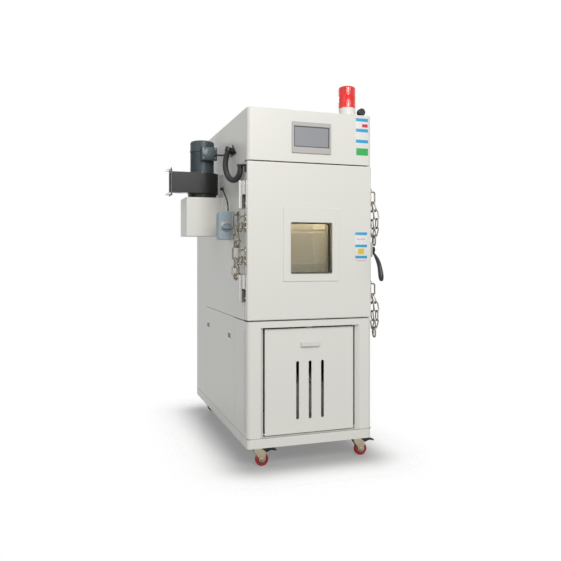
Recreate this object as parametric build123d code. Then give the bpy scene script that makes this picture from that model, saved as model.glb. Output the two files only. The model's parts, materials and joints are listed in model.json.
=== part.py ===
"""Environmental test chamber on four swivel casters, in millimetres.

Cabinet coordinates while modelling: X to the right seen from the front, Y towards the rear
with the front face at 0, Z up from the floor, X = 0 on the cabinet's centre plane.
On export everything moves together, so that the origin is under the middle of the whole chamber.
"""

from build123d import *
import math
import os

# Cabinet
cabinet_width = 640.0
cabinet_depth = 1240.0
cabinet_top = 1700.0
sheet = 2.0
front_corner_radius = 20.0
top_edge_radius = 4.0
panel_seam = 2.0

# Levels above the floor
base_bottom = 100.0
base_top = 146.0
lower_frame_top = 694.0
casing_bottom = 698.0
door_bottom = 699.0
door_top = 1448.0
head_bottom = 1453.0

# Side seams, measured from the front face
jamb_front = 54.0
side_seam_front = 237.0
side_seam_rear = 930.0
base_rail_width = 40.0
base_cross_rail = 110.0
deck_thickness = 3.0

# Working space
liner_width = 440.0
liner_bottom = 790.0
liner_height = 540.0
liner_depth = 690.0
liner_sheet = 1.5
baffle_front = 545.0
insulation_rear = 790.0
shelf_levels = (962.0, 1132.0)
rail_reach = 14.0
rail_thickness = 2.0
shelf_wire = 4.0
shelf_play = 1.0
shelf_front = 130.0
shelf_wire_count = 13

# Door
door_thickness = 48.0
door_skin = 1.5
door_edge_radius = 6.0
door_corner_radius = 8.0
plug_width = 404.0
plug_height = 504.0
plug_reach = 38.0
plug_taper = 6.0
pan_flange = 1.5
gasket_width = 22.0
gasket_play = 0.3
window_width = 213.0
window_height = 246.0
window_bottom = 918.0
window_wall = 3.0
window_frame_side = 38.0
window_frame_foot = 37.0
window_frame_head = 71.0
window_frame_thickness = 4.0
pane_thickness = 5.0
front_pane_depth = 36.0

# Service panel under the door
recess_half_width = 255.0
recess_throat = 238.0
recess_bevel_depth = 20.0
recess_return = 60.0
recess_top = 664.0
service_width = 457.0
service_bottom = 151.0
service_top = 655.0
service_front = 18.0
service_thickness = 18.0
slot_width = 15.0
slot_bottom = 217.0
slot_top = 497.0
slot_pitch = 64.5
service_pivot_y = 24.5
service_pivot_z = 158.0
service_pin_radius = 2.5
pull_width = 98.0
pull_height = 26.0
pull_reach = 12.0
pull_bottom = 565.0

# Running clearances
shaft_clearance = 0.05
rest_gap = 0.3
bar_play = 0.3

# Touch screen in the head
bezel_width = 202.0
bezel_height = 150.0
bezel_bottom = 1495.0
bezel_proud = 6.0
bezel_lip = 9.0
screen_width = 183.0
screen_height = 101.0
screen_bottom = 1524.0

# Beacon and gland on the roof
beacon_x = 213.0
beacon_y = 58.0
beacon_base_radius = 45.0
beacon_base_height = 42.0
beacon_lens_radius = 43.0
beacon_lens_height = 108.0
gland_x = 287.0
gland_y = 52.0
gland_radius = 18.0
gland_height = 44.0

# Exhaust duct and blower on the left side
duct_front = 497.0
duct_depth = 193.0
duct_reach = 198.0
duct_bottom = 1112.0
duct_height = 206.0
duct_neck_width = 100.0
duct_neck_height = 150.0
blower_x = -415.0
blower_y = 594.0
blower_bottom = 1342.0
blower_height = 110.0
blower_sheet = 2.0
volute_start_radius = 76.0
volute_end_radius = 91.0
volute_start_angle = 212.0
volute_sweep = 302.0
outlet_width = 56.0
outlet_reach = 185.0
inlet_radius = 52.0
collar_radius = 78.0
flange_thickness = 4.0
flange_margin = 18.0
outlet_bolt_radius = 3.0
outlet_bolt_shoulder = 3.5
outlet_bolt_inset = 9.0
outlet_bolt_length = 26.0
impeller_radius = 64.0
impeller_height = 84.0
impeller_blades = 18
motor_radius = 60.5
motor_length = 181.0
motor_cowl_radius = 66.0
motor_cowl_height = 60.0
motor_shaft_radius = 7.0

# Switch box on the left side
switch_front = 249.0
switch_depth = 66.0
switch_width = 78.0
switch_bottom = 1085.0
switch_height = 141.0
switch_corner = 14.0
knob_radius = 22.0
knob_level = 0.44

# Hinges on the left edge
hinge_x = -340.0
hinge_y = 51.0
hinge_barrel_radius = 10.0
hinge_pin_radius = 5.0
hinge_height = 130.0
hinge_bottoms = (783.0, 1228.0)
hinge_leaf = 4.0
hinge_door_leaf = 38.0
hinge_cabinet_leaf = 78.0

# Chains and their staples
link_length = 57.0
link_width = 30.0
link_wire = 6.5
link_gap = 0.3
quick_link_length = 58.0
quick_link_width = 34.0
quick_link_wire = 8.0
quick_link_nut = 6.5
staple_wire = 8.0
staple_reach = 30.0
staple_height = 66.0
staple_plate = 4.0
staple_plate_width = 30.0
staple_plate_extra = 26.0
cabinet_staple_y = 160.0
hinge_staple_drop = 15.0
left_staple_bottoms = (984.0, 1142.0)
right_staple_bottoms = (802.0, 1262.0)
door_staple_y = 24.0

# Lever handle on the right edge
handle_x = 340.0
handle_pivot_y = 30.0
handle_pivot_z = 1035.0
handle_pivot_radius = 6.0
latch_base_thickness = 9.0
latch_base_height = 74.0
latch_base_width = 38.0

# Circulation fan behind the baffle
fan_z = 1215.0
fan_radius = 92.0
fan_depth = 34.0
fan_shaft_radius = 6.0
fan_blades = 10
fan_inlet_radius = 66.0

# Cable port on the right side
port_y = 300.0
port_z = 1100.0
port_radius = 25.0
port_wall = 2.0
port_flange_radius = 40.0

# Casters
caster_x = 260.0
caster_inset = 62.0
caster_plate = 66.0
caster_plate_thickness = 3.0
wheel_radius = 31.5
wheel_width = 24.0
caster_trail = 28.0
fork_sheet = 3.0
axle_radius = 4.0
pedal_radius = 5.0

# Cords
motor_cable_radius = 4.5
switch_cable_radius = 3.5
conduit_radius = 14.0

half_width = cabinet_width / 2
half_liner = liner_width / 2
liner_top = liner_bottom + liner_height
inside = half_width - sheet


def block(x0, x1, y0, y1, z0, z1):
    """Box between two opposite corners."""
    centre = Pos((x0 + x1) / 2, (y0 + y1) / 2, (z0 + z1) / 2)
    return centre * Box(abs(x1 - x0), abs(y1 - y0), abs(z1 - z0))


def rod(start, end, radius):
    """Round bar between two points."""
    start, end = Vector(*start), Vector(*end)
    along = end - start
    base = Plane(origin=start, z_dir=along)
    return base * Cylinder(radius, along.length, align=(Align.CENTER, Align.CENTER, Align.MIN))


def across(points, x0, x1):
    """Outline in Y and Z, extruded along X."""
    face = Plane.YZ * Polygon(*points, align=None)
    return Pos(x0, 0, 0) * extrude(face, x1 - x0, dir=(1, 0, 0))


def upright(points, z0, z1):
    """Outline in X and Y, extruded along Z."""
    face = Polygon(*points, align=None)
    return Pos(0, 0, z0) * extrude(face, z1 - z0, dir=(0, 0, 1))


def sideways(points, y0, y1):
    """Outline in X and Z, extruded along Y."""
    face = Plane.XZ * Polygon(*points, align=None)
    return Pos(0, y0, 0) * extrude(face, y1 - y0, dir=(0, 1, 0))


def mirrored(shape):
    """The same shape on the other side of the cabinet's centre plane."""
    return mirror(shape, about=Plane.YZ)


def group(shapes):
    """Separate solids kept as one sub-part."""
    return Compound([solid for shape in shapes for solid in shape.solids()])


def vertical_edges_at(shape, y):
    """Vertical edges of a shape that lie in the plane Y = y."""
    return [e for e in shape.edges().filter_by(Axis.Z) if abs(e.center().Y - y) < 0.01]


def upper_casing():
    """Folded outer sheet: head over the door, side walls, roof and the rear legs."""
    outline = [
        (jamb_front, casing_bottom),
        (jamb_front, head_bottom),
        (0, head_bottom),
        (0, cabinet_top),
        (cabinet_depth, cabinet_top),
        (cabinet_depth, base_top),
        (side_seam_rear, base_top),
        (side_seam_rear, casing_bottom),
    ]
    outside = across(outline, -half_width, half_width)
    outside = fillet(vertical_edges_at(outside, 0), front_corner_radius)
    rim = [e for e in outside.edges() if abs(e.center().Z - cabinet_top) < 0.01]
    outside = fillet(rim, top_edge_radius)
    beyond = cabinet_depth + sheet
    below = base_top - sheet
    hollow = [
        (jamb_front - sheet, below),
        (jamb_front - sheet, head_bottom),
        (jamb_front, head_bottom),
        (jamb_front, head_bottom + sheet),
        (sheet, head_bottom + sheet),
        (sheet, cabinet_top - sheet),
        (beyond, cabinet_top - sheet),
        (beyond, below),
    ]
    cavity = across(hollow, -inside, inside)
    cavity = fillet(vertical_edges_at(cavity, sheet), front_corner_radius - sheet)
    casing = outside - cavity
    neck_y = duct_front + duct_depth / 2
    neck_z = duct_bottom + duct_height / 2
    casing -= Pos(-half_width, neck_y, neck_z) * Box(
        4 * sheet, duct_neck_width, duct_neck_height
    )
    casing -= rod((inside - sheet, port_y, port_z), (half_width + sheet, port_y, port_z),
                  port_radius + port_wall)
    casing += block(-inside, inside, jamb_front, insulation_rear, casing_bottom, casing_bottom + sheet)
    return casing - bezel_opening()


def bezel_opening():
    """Hole in the head for the touch screen's body."""
    middle = bezel_bottom + bezel_height / 2
    return Pos(0, sheet / 2, middle) * Box(
        bezel_width - 2 * bezel_lip, 3 * sheet, bezel_height - 2 * bezel_lip
    )


def screen_bezel():
    """Moulded surround of the touch screen, with a body behind the head's sheet."""
    middle = bezel_bottom + bezel_height / 2
    plate = Pos(0, -bezel_proud / 2, middle) * Box(bezel_width, bezel_proud, bezel_height)
    plate = fillet(plate.edges().filter_by(Axis.Y), 5)
    plate = chamfer(plate.faces().sort_by(Axis.Y)[0].outer_wire().edges(), 2)
    body = block(
        -bezel_width / 2 + bezel_lip, bezel_width / 2 - bezel_lip, 0, 38,
        bezel_bottom + bezel_lip, bezel_bottom + bezel_height - bezel_lip,
    )
    window = Pos(0, 0, screen_bottom + screen_height / 2) * Box(screen_width, 2 * bezel_proud, screen_height)
    return plate + body - window


def touch_screen():
    """Display panel, sunk a little in its surround."""
    middle = screen_bottom + screen_height / 2
    return Pos(0, bezel_proud / 2 - 1, middle) * Box(screen_width, bezel_proud + 2, screen_height)


def rear_panel():
    """Louvred sheet that closes the back."""
    panel = block(
        -inside, inside, cabinet_depth - sheet, cabinet_depth, base_top, cabinet_top - sheet
    )
    louvre_width = 220.0
    louvre_pitch = 26.0
    for level in (330.0, 1420.0):
        for row in range(6):
            z = level + row * louvre_pitch
            panel -= Pos(0, cabinet_depth, z) * Box(louvre_width, 4 * sheet, 8)
            hood = across(
                [(cabinet_depth - 1, z + 3), (cabinet_depth - 1, z + 9), (cabinet_depth + 0.8, z + 9),
                 (cabinet_depth + 8, z - 5), (cabinet_depth + 6.6, z - 5), (cabinet_depth + 0.4, z + 3)],
                -louvre_width / 2 - 2, louvre_width / 2 + 2,
            )
            panel += hood
    return panel


def lower_frame():
    """Front frame of the machine compartment, its posts bevelled into the recess."""
    rear = side_seam_front - panel_seam
    outline = [
        (-half_width, rear),
        (-half_width, 0),
        (-recess_half_width, 0),
        (-recess_throat, recess_bevel_depth),
        (-recess_throat, recess_return),
        (-recess_throat - sheet, recess_return),
        (-recess_throat - 2 * sheet, rear),
    ]
    solid = upright(outline, base_top, lower_frame_top)
    corner = [e for e in solid.edges().filter_by(Axis.Z)
              if abs(e.center().X + half_width) < 0.01 and abs(e.center().Y) < 0.01]
    solid = fillet(corner, front_corner_radius)
    hollow = [
        (-inside, rear + sheet),
        (-inside, sheet),
        (-recess_half_width - sheet / 2, sheet),
        (-recess_throat - sheet, recess_bevel_depth + sheet / 2),
        (-recess_throat - sheet, rear + sheet),
    ]
    core = upright(hollow, base_top - sheet, lower_frame_top + sheet)
    corner = [e for e in core.edges().filter_by(Axis.Z)
              if abs(e.center().X + inside) < 0.01 and abs(e.center().Y - sheet) < 0.01]
    post = solid - fillet(corner, front_corner_radius - sheet)
    rail = block(-recess_half_width, recess_half_width, 0, sheet, recess_top, lower_frame_top)
    lip = block(-recess_throat, recess_throat, 0, recess_return, recess_top, recess_top + sheet)
    cap = block(-inside + 18, inside - 18, sheet, side_seam_front - panel_seam,
                lower_frame_top - sheet, lower_frame_top)
    catch = block(-15, 15, service_front + service_thickness + rest_gap, recess_return,
                  recess_top - 22, recess_top)
    frame = post + mirrored(post) + rail + lip + cap + catch
    half_panel = service_width / 2
    for side in (-1, 1):
        frame += rod(
            (side * recess_throat, service_pivot_y, service_pivot_z),
            (side * (half_panel - 3 * sheet), service_pivot_y, service_pivot_z),
            service_pin_radius,
        )
    return frame


def base_frame():
    """Welded plinth with rails all round and a deck on top."""
    outside = block(-half_width, half_width, 0, cabinet_depth, base_bottom, base_top)
    outside = fillet(vertical_edges_at(outside, 0), front_corner_radius)
    hollow = block(
        -half_width + base_rail_width, half_width - base_rail_width,
        base_cross_rail, cabinet_depth - base_cross_rail,
        base_bottom - 1, base_top - deck_thickness,
    )
    return outside - hollow


def side_panels():
    """Two lift-off panels of the machine compartment, dished at their flush pulls."""
    panel = block(-half_width, -inside, side_seam_front, side_seam_rear - panel_seam,
                  base_top, casing_bottom - panel_seam)
    for y in pull_places():
        panel -= Pos(-half_width, y, side_pull_level) * Box(4 * sheet, side_pull_length, side_pull_height)
    return group([panel, mirrored(panel)])


side_pull_level = 593.0
side_pull_length = 56.0
side_pull_height = 30.0
side_pull_inset = 110.0


def pull_places():
    """Distance of each flush pull from the front face."""
    return (side_seam_front + side_pull_inset, side_seam_rear - side_pull_inset / 2)


def side_pulls():
    """Chromed flush pulls: a rim on the panel, a cup behind it."""
    pulls = []
    for y in pull_places():
        rim = Pos(-half_width - 1, y, side_pull_level) * Box(2, side_pull_length + 8, side_pull_height + 8)
        rim = fillet(rim.edges().filter_by(Axis.X), 8)
        cup = block(-half_width - 1, -half_width + 14, y - side_pull_length / 2, y + side_pull_length / 2,
                    side_pull_level - side_pull_height / 2, side_pull_level + side_pull_height / 2)
        inner = block(-half_width - 4, -half_width + 12.5, y - side_pull_length / 2 + 1.5,
                      y + side_pull_length / 2 - 1.5, side_pull_level - side_pull_height / 2 + 1.5,
                      side_pull_level + side_pull_height / 2 - 1.5)
        pull = rim + cup - inner
        pulls += [pull, mirrored(pull)]
    return group(pulls)


def duct_neck(extra):
    """Rectangular air passage from the plenum through the left wall."""
    y = duct_front + duct_depth / 2
    z = duct_bottom + duct_height / 2
    return block(
        -half_width, -half_liner - liner_sheet,
        y - duct_neck_width / 2 - extra, y + duct_neck_width / 2 + extra,
        z - duct_neck_height / 2 - extra, z + duct_neck_height / 2 + extra,
    )


def insulation():
    """Foam between the outer casing and the stainless liner."""
    foam = block(-inside, inside, jamb_front + liner_sheet, insulation_rear, casing_bottom + sheet,
                 head_bottom - sheet)
    foam -= block(-half_liner - liner_sheet, half_liner + liner_sheet, 0, liner_depth + liner_sheet,
                  liner_bottom - liner_sheet, liner_top + liner_sheet)
    foam -= duct_neck(0)
    foam -= rod((0, port_y, port_z), (half_width, port_y, port_z), port_radius + port_wall)
    foam -= rod((0, liner_depth, fan_z), (0, insulation_rear + 1, fan_z), fan_shaft_radius + 3)
    return foam


def inner_liner():
    """Stainless working space with its front flange and shelf rails."""
    liner = block(-half_liner - liner_sheet, half_liner + liner_sheet, jamb_front,
                  liner_depth + liner_sheet, liner_bottom - liner_sheet, liner_top + liner_sheet)
    flange = block(-inside, inside, jamb_front, jamb_front + liner_sheet,
                   casing_bottom + sheet, head_bottom - sheet)
    liner += flange
    liner -= block(-half_liner, half_liner, jamb_front - 1, liner_depth, liner_bottom, liner_top)
    liner -= Pos(-half_liner, duct_front + duct_depth / 2, duct_bottom + duct_height / 2) * Box(
        6 * liner_sheet, duct_neck_width, duct_neck_height
    )
    liner -= rod((half_liner - 5, port_y, port_z), (half_width, port_y, port_z), port_radius)
    liner -= rod((0, liner_depth - 5, fan_z), (0, liner_depth + 5, fan_z), fan_shaft_radius + 3)
    for level in shelf_levels:
        for side in (-1, 1):
            liner += block(side * half_liner, side * (half_liner - rail_reach), shelf_front - 10,
                           baffle_front - 10, level - rail_thickness, level)
            liner += block(side * half_liner, side * (half_liner - rail_thickness), shelf_front - 10,
                           baffle_front - 10, level - rail_thickness, level + 14)
    return liner


def wire_shelves():
    """Stainless wire shelves that rest on the rails."""
    half = half_liner - rail_thickness - shelf_play
    rear = baffle_front - 14
    shelves = []
    for level in shelf_levels:
        low = level
        shelf = block(-half, half, shelf_front, shelf_front + shelf_wire, low, low + shelf_wire)
        shelf += block(-half, half, rear - shelf_wire, rear, low, low + shelf_wire)
        for side in (-1, 1):
            shelf += block(side * half, side * (half - shelf_wire), shelf_front, rear, low, low + shelf_wire)
        pitch = (2 * half - shelf_wire) / (shelf_wire_count + 1)
        for wire in range(1, shelf_wire_count + 1):
            x = -half + shelf_wire / 2 + wire * pitch
            shelf += block(x - 1.5, x + 1.5, shelf_front, rear, low + 0.5, low + 3.5)
        shelves.append(shelf)
    return group(shelves)


def air_baffle():
    """Stainless sheet in front of the plenum, with the fan's inlet and two rows of air slots."""
    edge = 0.5
    baffle = block(-half_liner + edge, half_liner - edge, baffle_front, baffle_front + sheet,
                   liner_bottom + rest_gap, liner_top - rest_gap)
    baffle -= rod((0, baffle_front - 1, fan_z), (0, baffle_front + 2 * sheet, fan_z), fan_inlet_radius)
    for turn in (0, 45, 90, 135):
        bar = Box(2 * fan_inlet_radius + 1, sheet, 4)
        baffle += Pos(0, baffle_front + sheet / 2, fan_z) * Rot(0, turn, 0) * bar
    slot_count = 7
    for row in (liner_bottom + 30, liner_top - 24):
        for index in range(slot_count):
            x = (index - (slot_count - 1) / 2) * 54
            baffle -= Pos(x, baffle_front, row) * Box(38, 4 * sheet, 10)
    return baffle


def evaporator():
    """Finned cooling block with its tube bends, low in the plenum."""
    coil = block(-150, 150, baffle_front + 40, liner_depth - 20, liner_bottom + 40, liner_bottom + 200)
    for row in range(5):
        z = liner_bottom + 60 + row * 30
        coil += rod((-170, baffle_front + 80, z), (170, baffle_front + 80, z), 5)
    for side in (-1, 1):
        coil += block(side * 170, side * 172, baffle_front + 40, liner_depth - 20,
                      liner_bottom, liner_bottom + 200)
    return coil


def circulation_fan():
    """Centrifugal wheel on a shaft that comes through the rear insulation."""
    rear = liner_depth - 22
    wheel = rod((0, rear - 3, fan_z), (0, rear, fan_z), fan_radius)
    wheel += rod((0, rear - fan_depth, fan_z), (0, rear, fan_z), 16)
    for blade in range(fan_blades):
        angle = blade * 360 / fan_blades
        plate = Pos(fan_radius * 0.72, rear - fan_depth / 2, 0) * Rot(0, 0, 0) * Box(
            fan_radius * 0.5, fan_depth, 2.5
        )
        wheel += Pos(0, 0, fan_z) * Rot(0, angle, 0) * plate
    wheel += rod((0, rear - 1, fan_z), (0, insulation_rear + 16, fan_z), fan_shaft_radius)
    return wheel


def fan_motor():
    """Motor of the circulation fan, bolted to the back of the insulation."""
    face = insulation_rear
    motor = rod((0, face, fan_z), (0, face + 150, fan_z), 62)
    motor += block(-75, 75, face, face + 6, fan_z - 75, fan_z + 75)
    motor += rod((0, face + 150, fan_z), (0, face + 170, fan_z), 56)
    motor -= rod((0, face - 1, fan_z), (0, face + 24, fan_z), fan_shaft_radius + shaft_clearance)
    return motor


def cable_port():
    """Stainless tube through the right wall, with a flange outside."""
    start = half_liner + liner_sheet
    end = half_width + 6
    port = rod((start, port_y, port_z), (end, port_y, port_z), port_radius + port_wall)
    port += rod((half_width, port_y, port_z), (half_width + 3, port_y, port_z), port_flange_radius)
    port -= rod((start - 1, port_y, port_z), (end + 1, port_y, port_z), port_radius)
    return port


def compressor():
    """Hermetic compressor on three feet on the deck."""
    x, y = -110.0, 520.0
    profile = Plane.XZ * Polygon(
        (0, 0), (88, 0), (88, 150), (82, 182), (62, 206), (32, 219), (0, 222), align=None,
    )
    shell = revolve(profile, Axis.Z)
    foot = block(-120, 120, -14, 14, -14, 0)
    feet = foot + Rot(0, 0, 60) * foot + Rot(0, 0, 120) * foot
    return Pos(x, y, base_top + 14) * (shell + feet)


def water_tank():
    """Tank that feeds the humidifier, reached behind the service panel."""
    tank = block(-60, 190, 90, 330, base_top, base_top + 230)
    tank = fillet(tank.edges().filter_by(Axis.Z), 12)
    cap_y = 150.0
    return tank + rod((60, cap_y, base_top + 225), (60, cap_y, base_top + 250), 32)


def beacon_base():
    """White foot of the warning beacon, stepped where the lens screws on."""
    radius, height = beacon_base_radius, beacon_base_height
    profile = Plane.XZ * Polygon(
        (0, 0), (radius, 0), (radius, 6), (radius - 3, 9), (radius - 3, height - 8),
        (radius - 6, height), (0, height), align=None,
    )
    return Pos(beacon_x, beacon_y, cabinet_top) * revolve(profile, Axis.Z)


def beacon_lens():
    """Red lens with a domed top."""
    radius, height, wall, dome = beacon_lens_radius, beacon_lens_height, 3.0, 10.0
    outer = Plane.XZ * make_face([
        Polyline((radius - wall, 0), (radius, 0), (radius, height - dome)),
        ThreePointArc((radius, height - dome), (radius * 0.9, height - dome * 0.35), (radius * 0.7, height - 2)),
        Polyline((radius * 0.7, height - 2), (0, height), (0, height - wall),
                 (radius - 2 * wall, height - dome - wall), (radius - wall, height - dome - 2 * wall),
                 (radius - wall, 0)),
    ])
    lens = revolve(outer, Axis.Z)
    return Pos(beacon_x, beacon_y, cabinet_top + beacon_base_height) * lens


def cable_glands():
    """Angled gland on the roof with its seal strip, and a small straight one on the left side."""
    strip = block(gland_x - 26, half_width - 6, gland_y - 14, gland_y + 14, cabinet_top, cabinet_top + 4)
    stem = rod((gland_x, gland_y, cabinet_top + 4), (gland_x, gland_y, cabinet_top + 22), 13)
    head_level = cabinet_top + gland_height - gland_radius
    head = rod((gland_x, gland_y - 16, head_level), (gland_x, gland_y + 14, head_level), gland_radius)
    head = fillet(head.edges(), 4)
    x, y, z = switch_cable_route()[0]
    nut = rod((x, y, z), (x, y + 14, z), switch_cable_radius + 3.5)
    seat = block(-half_width, x, y + 3, y + 13, z - 8, z + 8)
    return group([strip + stem + head, nut + seat])


def duct_box():
    """Sheet metal box that takes the exhaust air up to the blower."""
    x1 = -half_width
    x0 = x1 - duct_reach
    y1 = duct_front + duct_depth
    z1 = duct_bottom + duct_height
    box = block(x0, x1, duct_front, y1, duct_bottom, z1)
    box = fillet(box.edges().filter_by(Axis.Z), 3)
    box -= block(x0 + sheet, x1 + 1, duct_front + sheet, y1 - sheet, duct_bottom + sheet, z1 - sheet)
    flange = block(x1 - sheet, x1, duct_front, y1, duct_bottom, z1)
    neck = duct_neck(0)
    bore = duct_neck(-sheet)
    bore = Pos(-2 * sheet, 0, 0) * bore + bore + Pos(2 * sheet, 0, 0) * bore
    box = box + flange + neck - bore
    return box - rod((blower_x, blower_y, z1 - 2 * sheet), (blower_x, blower_y, z1 + 1), inlet_radius)


def volute_outline(inset):
    """Scroll with its outlet towards -X: the radius grows evenly along the sweep."""
    steps = 12
    points = []
    for step in range(steps + 1):
        share = step / steps
        angle = math.radians(volute_start_angle - volute_sweep * share)
        radius = volute_start_radius + (volute_end_radius - volute_start_radius) * share - inset
        points.append((radius * math.cos(angle), radius * math.sin(angle)))
    front = -volute_end_radius + inset
    tongue = front + outlet_width - 2 * inset
    start_x = -math.sqrt(max((volute_start_radius - inset) ** 2 - tongue ** 2, 1))
    points[0] = (start_x, tongue)
    mouth = -outlet_reach
    curve = Spline(*points)
    lines = Polyline(points[-1], (mouth, front), (mouth, tongue), points[0])
    return make_face([curve, lines])


def blower_housing():
    """Welded scroll housing with outlet flange, top mounting ring and inlet collar."""
    place = Pos(blower_x, blower_y, blower_bottom)
    scroll = extrude(volute_outline(0), blower_height, dir=(0, 0, 1))
    hollow = extrude(volute_outline(blower_sheet), blower_height - 2 * blower_sheet, dir=(0, 0, 1))
    hollow = Pos(0, 0, blower_sheet) * hollow
    front = -volute_end_radius
    middle = front + outlet_width / 2
    flange = Pos(-outlet_reach + flange_thickness / 2, middle, blower_height / 2) * Box(
        flange_thickness, outlet_width + 2 * flange_margin, blower_height + 2 * flange_margin
    )
    collar_height = blower_bottom - duct_bottom - duct_height
    collar = Pos(0, 0, -collar_height / 2) * Cylinder(collar_radius, collar_height)
    inlet = Pos(0, 0, -collar_height / 2) * Cylinder(inlet_radius, collar_height + 4 * blower_sheet)
    shaft_hole = Pos(0, 0, blower_height) * Cylinder(22, 4 * blower_sheet)
    mouth = Pos(-outlet_reach, middle, blower_height / 2) * Box(
        4 * flange_thickness, outlet_width - 2 * blower_sheet, blower_height - 2 * blower_sheet
    )
    housing = scroll + flange + collar - hollow - inlet - shaft_hole - mouth
    for y, z in outlet_bolt_places():
        hole = Cylinder(outlet_bolt_shoulder + shaft_clearance, 4 * flange_thickness)
        housing -= Pos(-outlet_reach, y, z) * Rot(0, 90, 0) * hole
    return place * housing


def outlet_bolt_places():
    """Corners of the outlet flange where its bolts go, in the blower's own frame."""
    middle = -volute_end_radius + outlet_width / 2
    reach_y = outlet_width / 2 + flange_margin - outlet_bolt_inset
    reach_z = blower_height / 2 + flange_margin - outlet_bolt_inset
    return [(middle + a * reach_y, blower_height / 2 + b * reach_z) for a in (-1, 1) for b in (-1, 1)]


def outlet_bolts():
    """Four bolts that stand out of the outlet flange, with a shoulder in it and heads behind it."""
    bolts = []
    for y, z in outlet_bolt_places():
        x = blower_x - outlet_reach
        y, z = y + blower_y, z + blower_bottom
        bolt = rod((x + flange_thickness - outlet_bolt_length, y, z), (x + flange_thickness, y, z),
                   outlet_bolt_radius)
        bolt += rod((x, y, z), (x + flange_thickness, y, z), outlet_bolt_shoulder)
        head = Plane(origin=(x + flange_thickness, y, z), z_dir=(1, 0, 0)) * extrude(RegularPolygon(6, 6), 4)
        bolts.append(bolt + head)
    return group(bolts)


def blower_impeller():
    """Forward-curved wheel with its hub and the shaft up into the motor."""
    low = blower_bottom + 12
    high = low + impeller_height
    plate = rod((blower_x, blower_y, high - 2), (blower_x, blower_y, high), impeller_radius)
    wheel = plate + rod((blower_x, blower_y, high - 30), (blower_x, blower_y, high), 15)
    wheel += rod((blower_x, blower_y, high - 1), (blower_x, blower_y, motor_face() + 20), motor_shaft_radius)
    for blade in range(impeller_blades):
        vane = Pos(impeller_radius - 8, 0, 0) * Rot(0, 0, 30) * Box(14, 1.6, impeller_height)
        wheel += Pos(blower_x, blower_y, (low + high) / 2) * Rot(0, 0, blade * 360 / impeller_blades) * vane
    ring = rod((blower_x, blower_y, low), (blower_x, blower_y, low + 4), impeller_radius)
    ring -= rod((blower_x, blower_y, low - 1), (blower_x, blower_y, low + 5), impeller_radius - 13)
    return wheel + ring


def motor_face():
    """Level where the motor stands on the scroll housing."""
    return blower_bottom + blower_height


def blower_motor():
    """Upright motor with foot flange, domed fan cowl and terminal box."""
    top = motor_length
    cowl = top - motor_cowl_height
    profile = Plane.XZ * make_face([
        Polyline((0, 0), (motor_radius + 7, 0), (motor_radius + 7, 7), (motor_radius, 7), (motor_radius, cowl),
                 (motor_cowl_radius, cowl), (motor_cowl_radius, top - 12)),
        ThreePointArc((motor_cowl_radius, top - 12), (motor_cowl_radius - 4, top - 4),
                      (motor_cowl_radius - 14, top - 1)),
        Polyline((motor_cowl_radius - 14, top - 1), (0, top), (0, 0)),
    ])
    body = revolve(profile, Axis.Z)
    body -= Cylinder(motor_shaft_radius + shaft_clearance, 2 * 26)
    box = block(terminal_x - 43, terminal_x + 43, -motor_radius - 30, -motor_radius + 8,
                cowl - 52, cowl + 17)
    box = fillet(box.edges().filter_by(Axis.Z), 6)
    boot_x, boot_y, boot_z = motor_boot()
    boot = rod((boot_x, -motor_radius - 30, boot_z), (boot_x, boot_y, boot_z), 8)
    return Pos(blower_x, blower_y, motor_face()) * (body + box + boot)


terminal_x = 22.0


def motor_boot():
    """Where the motor's cable leaves, in the motor's own frame."""
    return terminal_x + 31, -motor_radius - 40, motor_length - motor_cowl_height - 28


def switch_box():
    """Grey enclosure of the blower switch with a rounded top, on the left wall."""
    x1 = -half_width
    body = block(x1 - switch_width, x1, switch_front, switch_front + switch_depth,
                 switch_bottom, switch_bottom + switch_height)
    outer = [e for e in body.edges().filter_by(Axis.Y) if abs(e.center().X - x1 + switch_width) < 0.01]
    body = fillet(outer, switch_corner)
    body = fillet(body.faces().sort_by(Axis.Y)[0].outer_wire().edges(), 3)
    x, y, z = switch_knob_centre()
    body -= rod((x, y - 1, z), (x, y + 12, z), 5 + shaft_clearance)
    end = switch_cable_route()[-1]
    return body + rod((end[0], end[1], switch_bottom + switch_height), end, 7)


def switch_knob_centre():
    """Centre of the rotary switch on the enclosure's front face."""
    return (-half_width - switch_width / 2, switch_front, switch_bottom + switch_height * knob_level)


def switch_knob():
    """Rotary switch with a bar grip and its spindle."""
    x, y, z = switch_knob_centre()
    knob = rod((x, y - rest_gap - 6, z), (x, y - rest_gap, z), knob_radius)
    grip = block(x - 27, x + 27, y - rest_gap - 22, y - rest_gap - 5, z - 7, z + 7)
    grip = fillet(grip.edges().filter_by(Axis.Y), 5)
    return knob + grip + rod((x, y - rest_gap - 1, z), (x, y + 10, z), 5)


def conduit_bracket():
    """Black triangular bracket on the left wall: a sleeve for the conduit, a boss for the motor cable."""
    x1 = -half_width
    x, y, z = conduit_route()[0]
    plate = across([(y - 62, z - 18), (y + 66, z - 18), (y + 10, z + 36)], x1 - 4, x1)
    down = Vector(*conduit_route()[1]) - Vector(*conduit_route()[0])
    crown = Vector(x, y, z) - down.normalized() * 20
    sleeve = rod((x, y, z), tuple(crown), conduit_radius + 3)
    arm = block(x, x1, y - 12, y + 12, z + 2, z + 16)
    end = motor_cable_route()[-1]
    boss = rod(end, (end[0], end[1] - 12, end[2]), motor_cable_radius + 3)
    foot = block(end[0], x1, end[1] - 11, end[1] - 2, end[2] - 5, end[2] + 5)
    return plate + sleeve + arm + boss + foot


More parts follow.
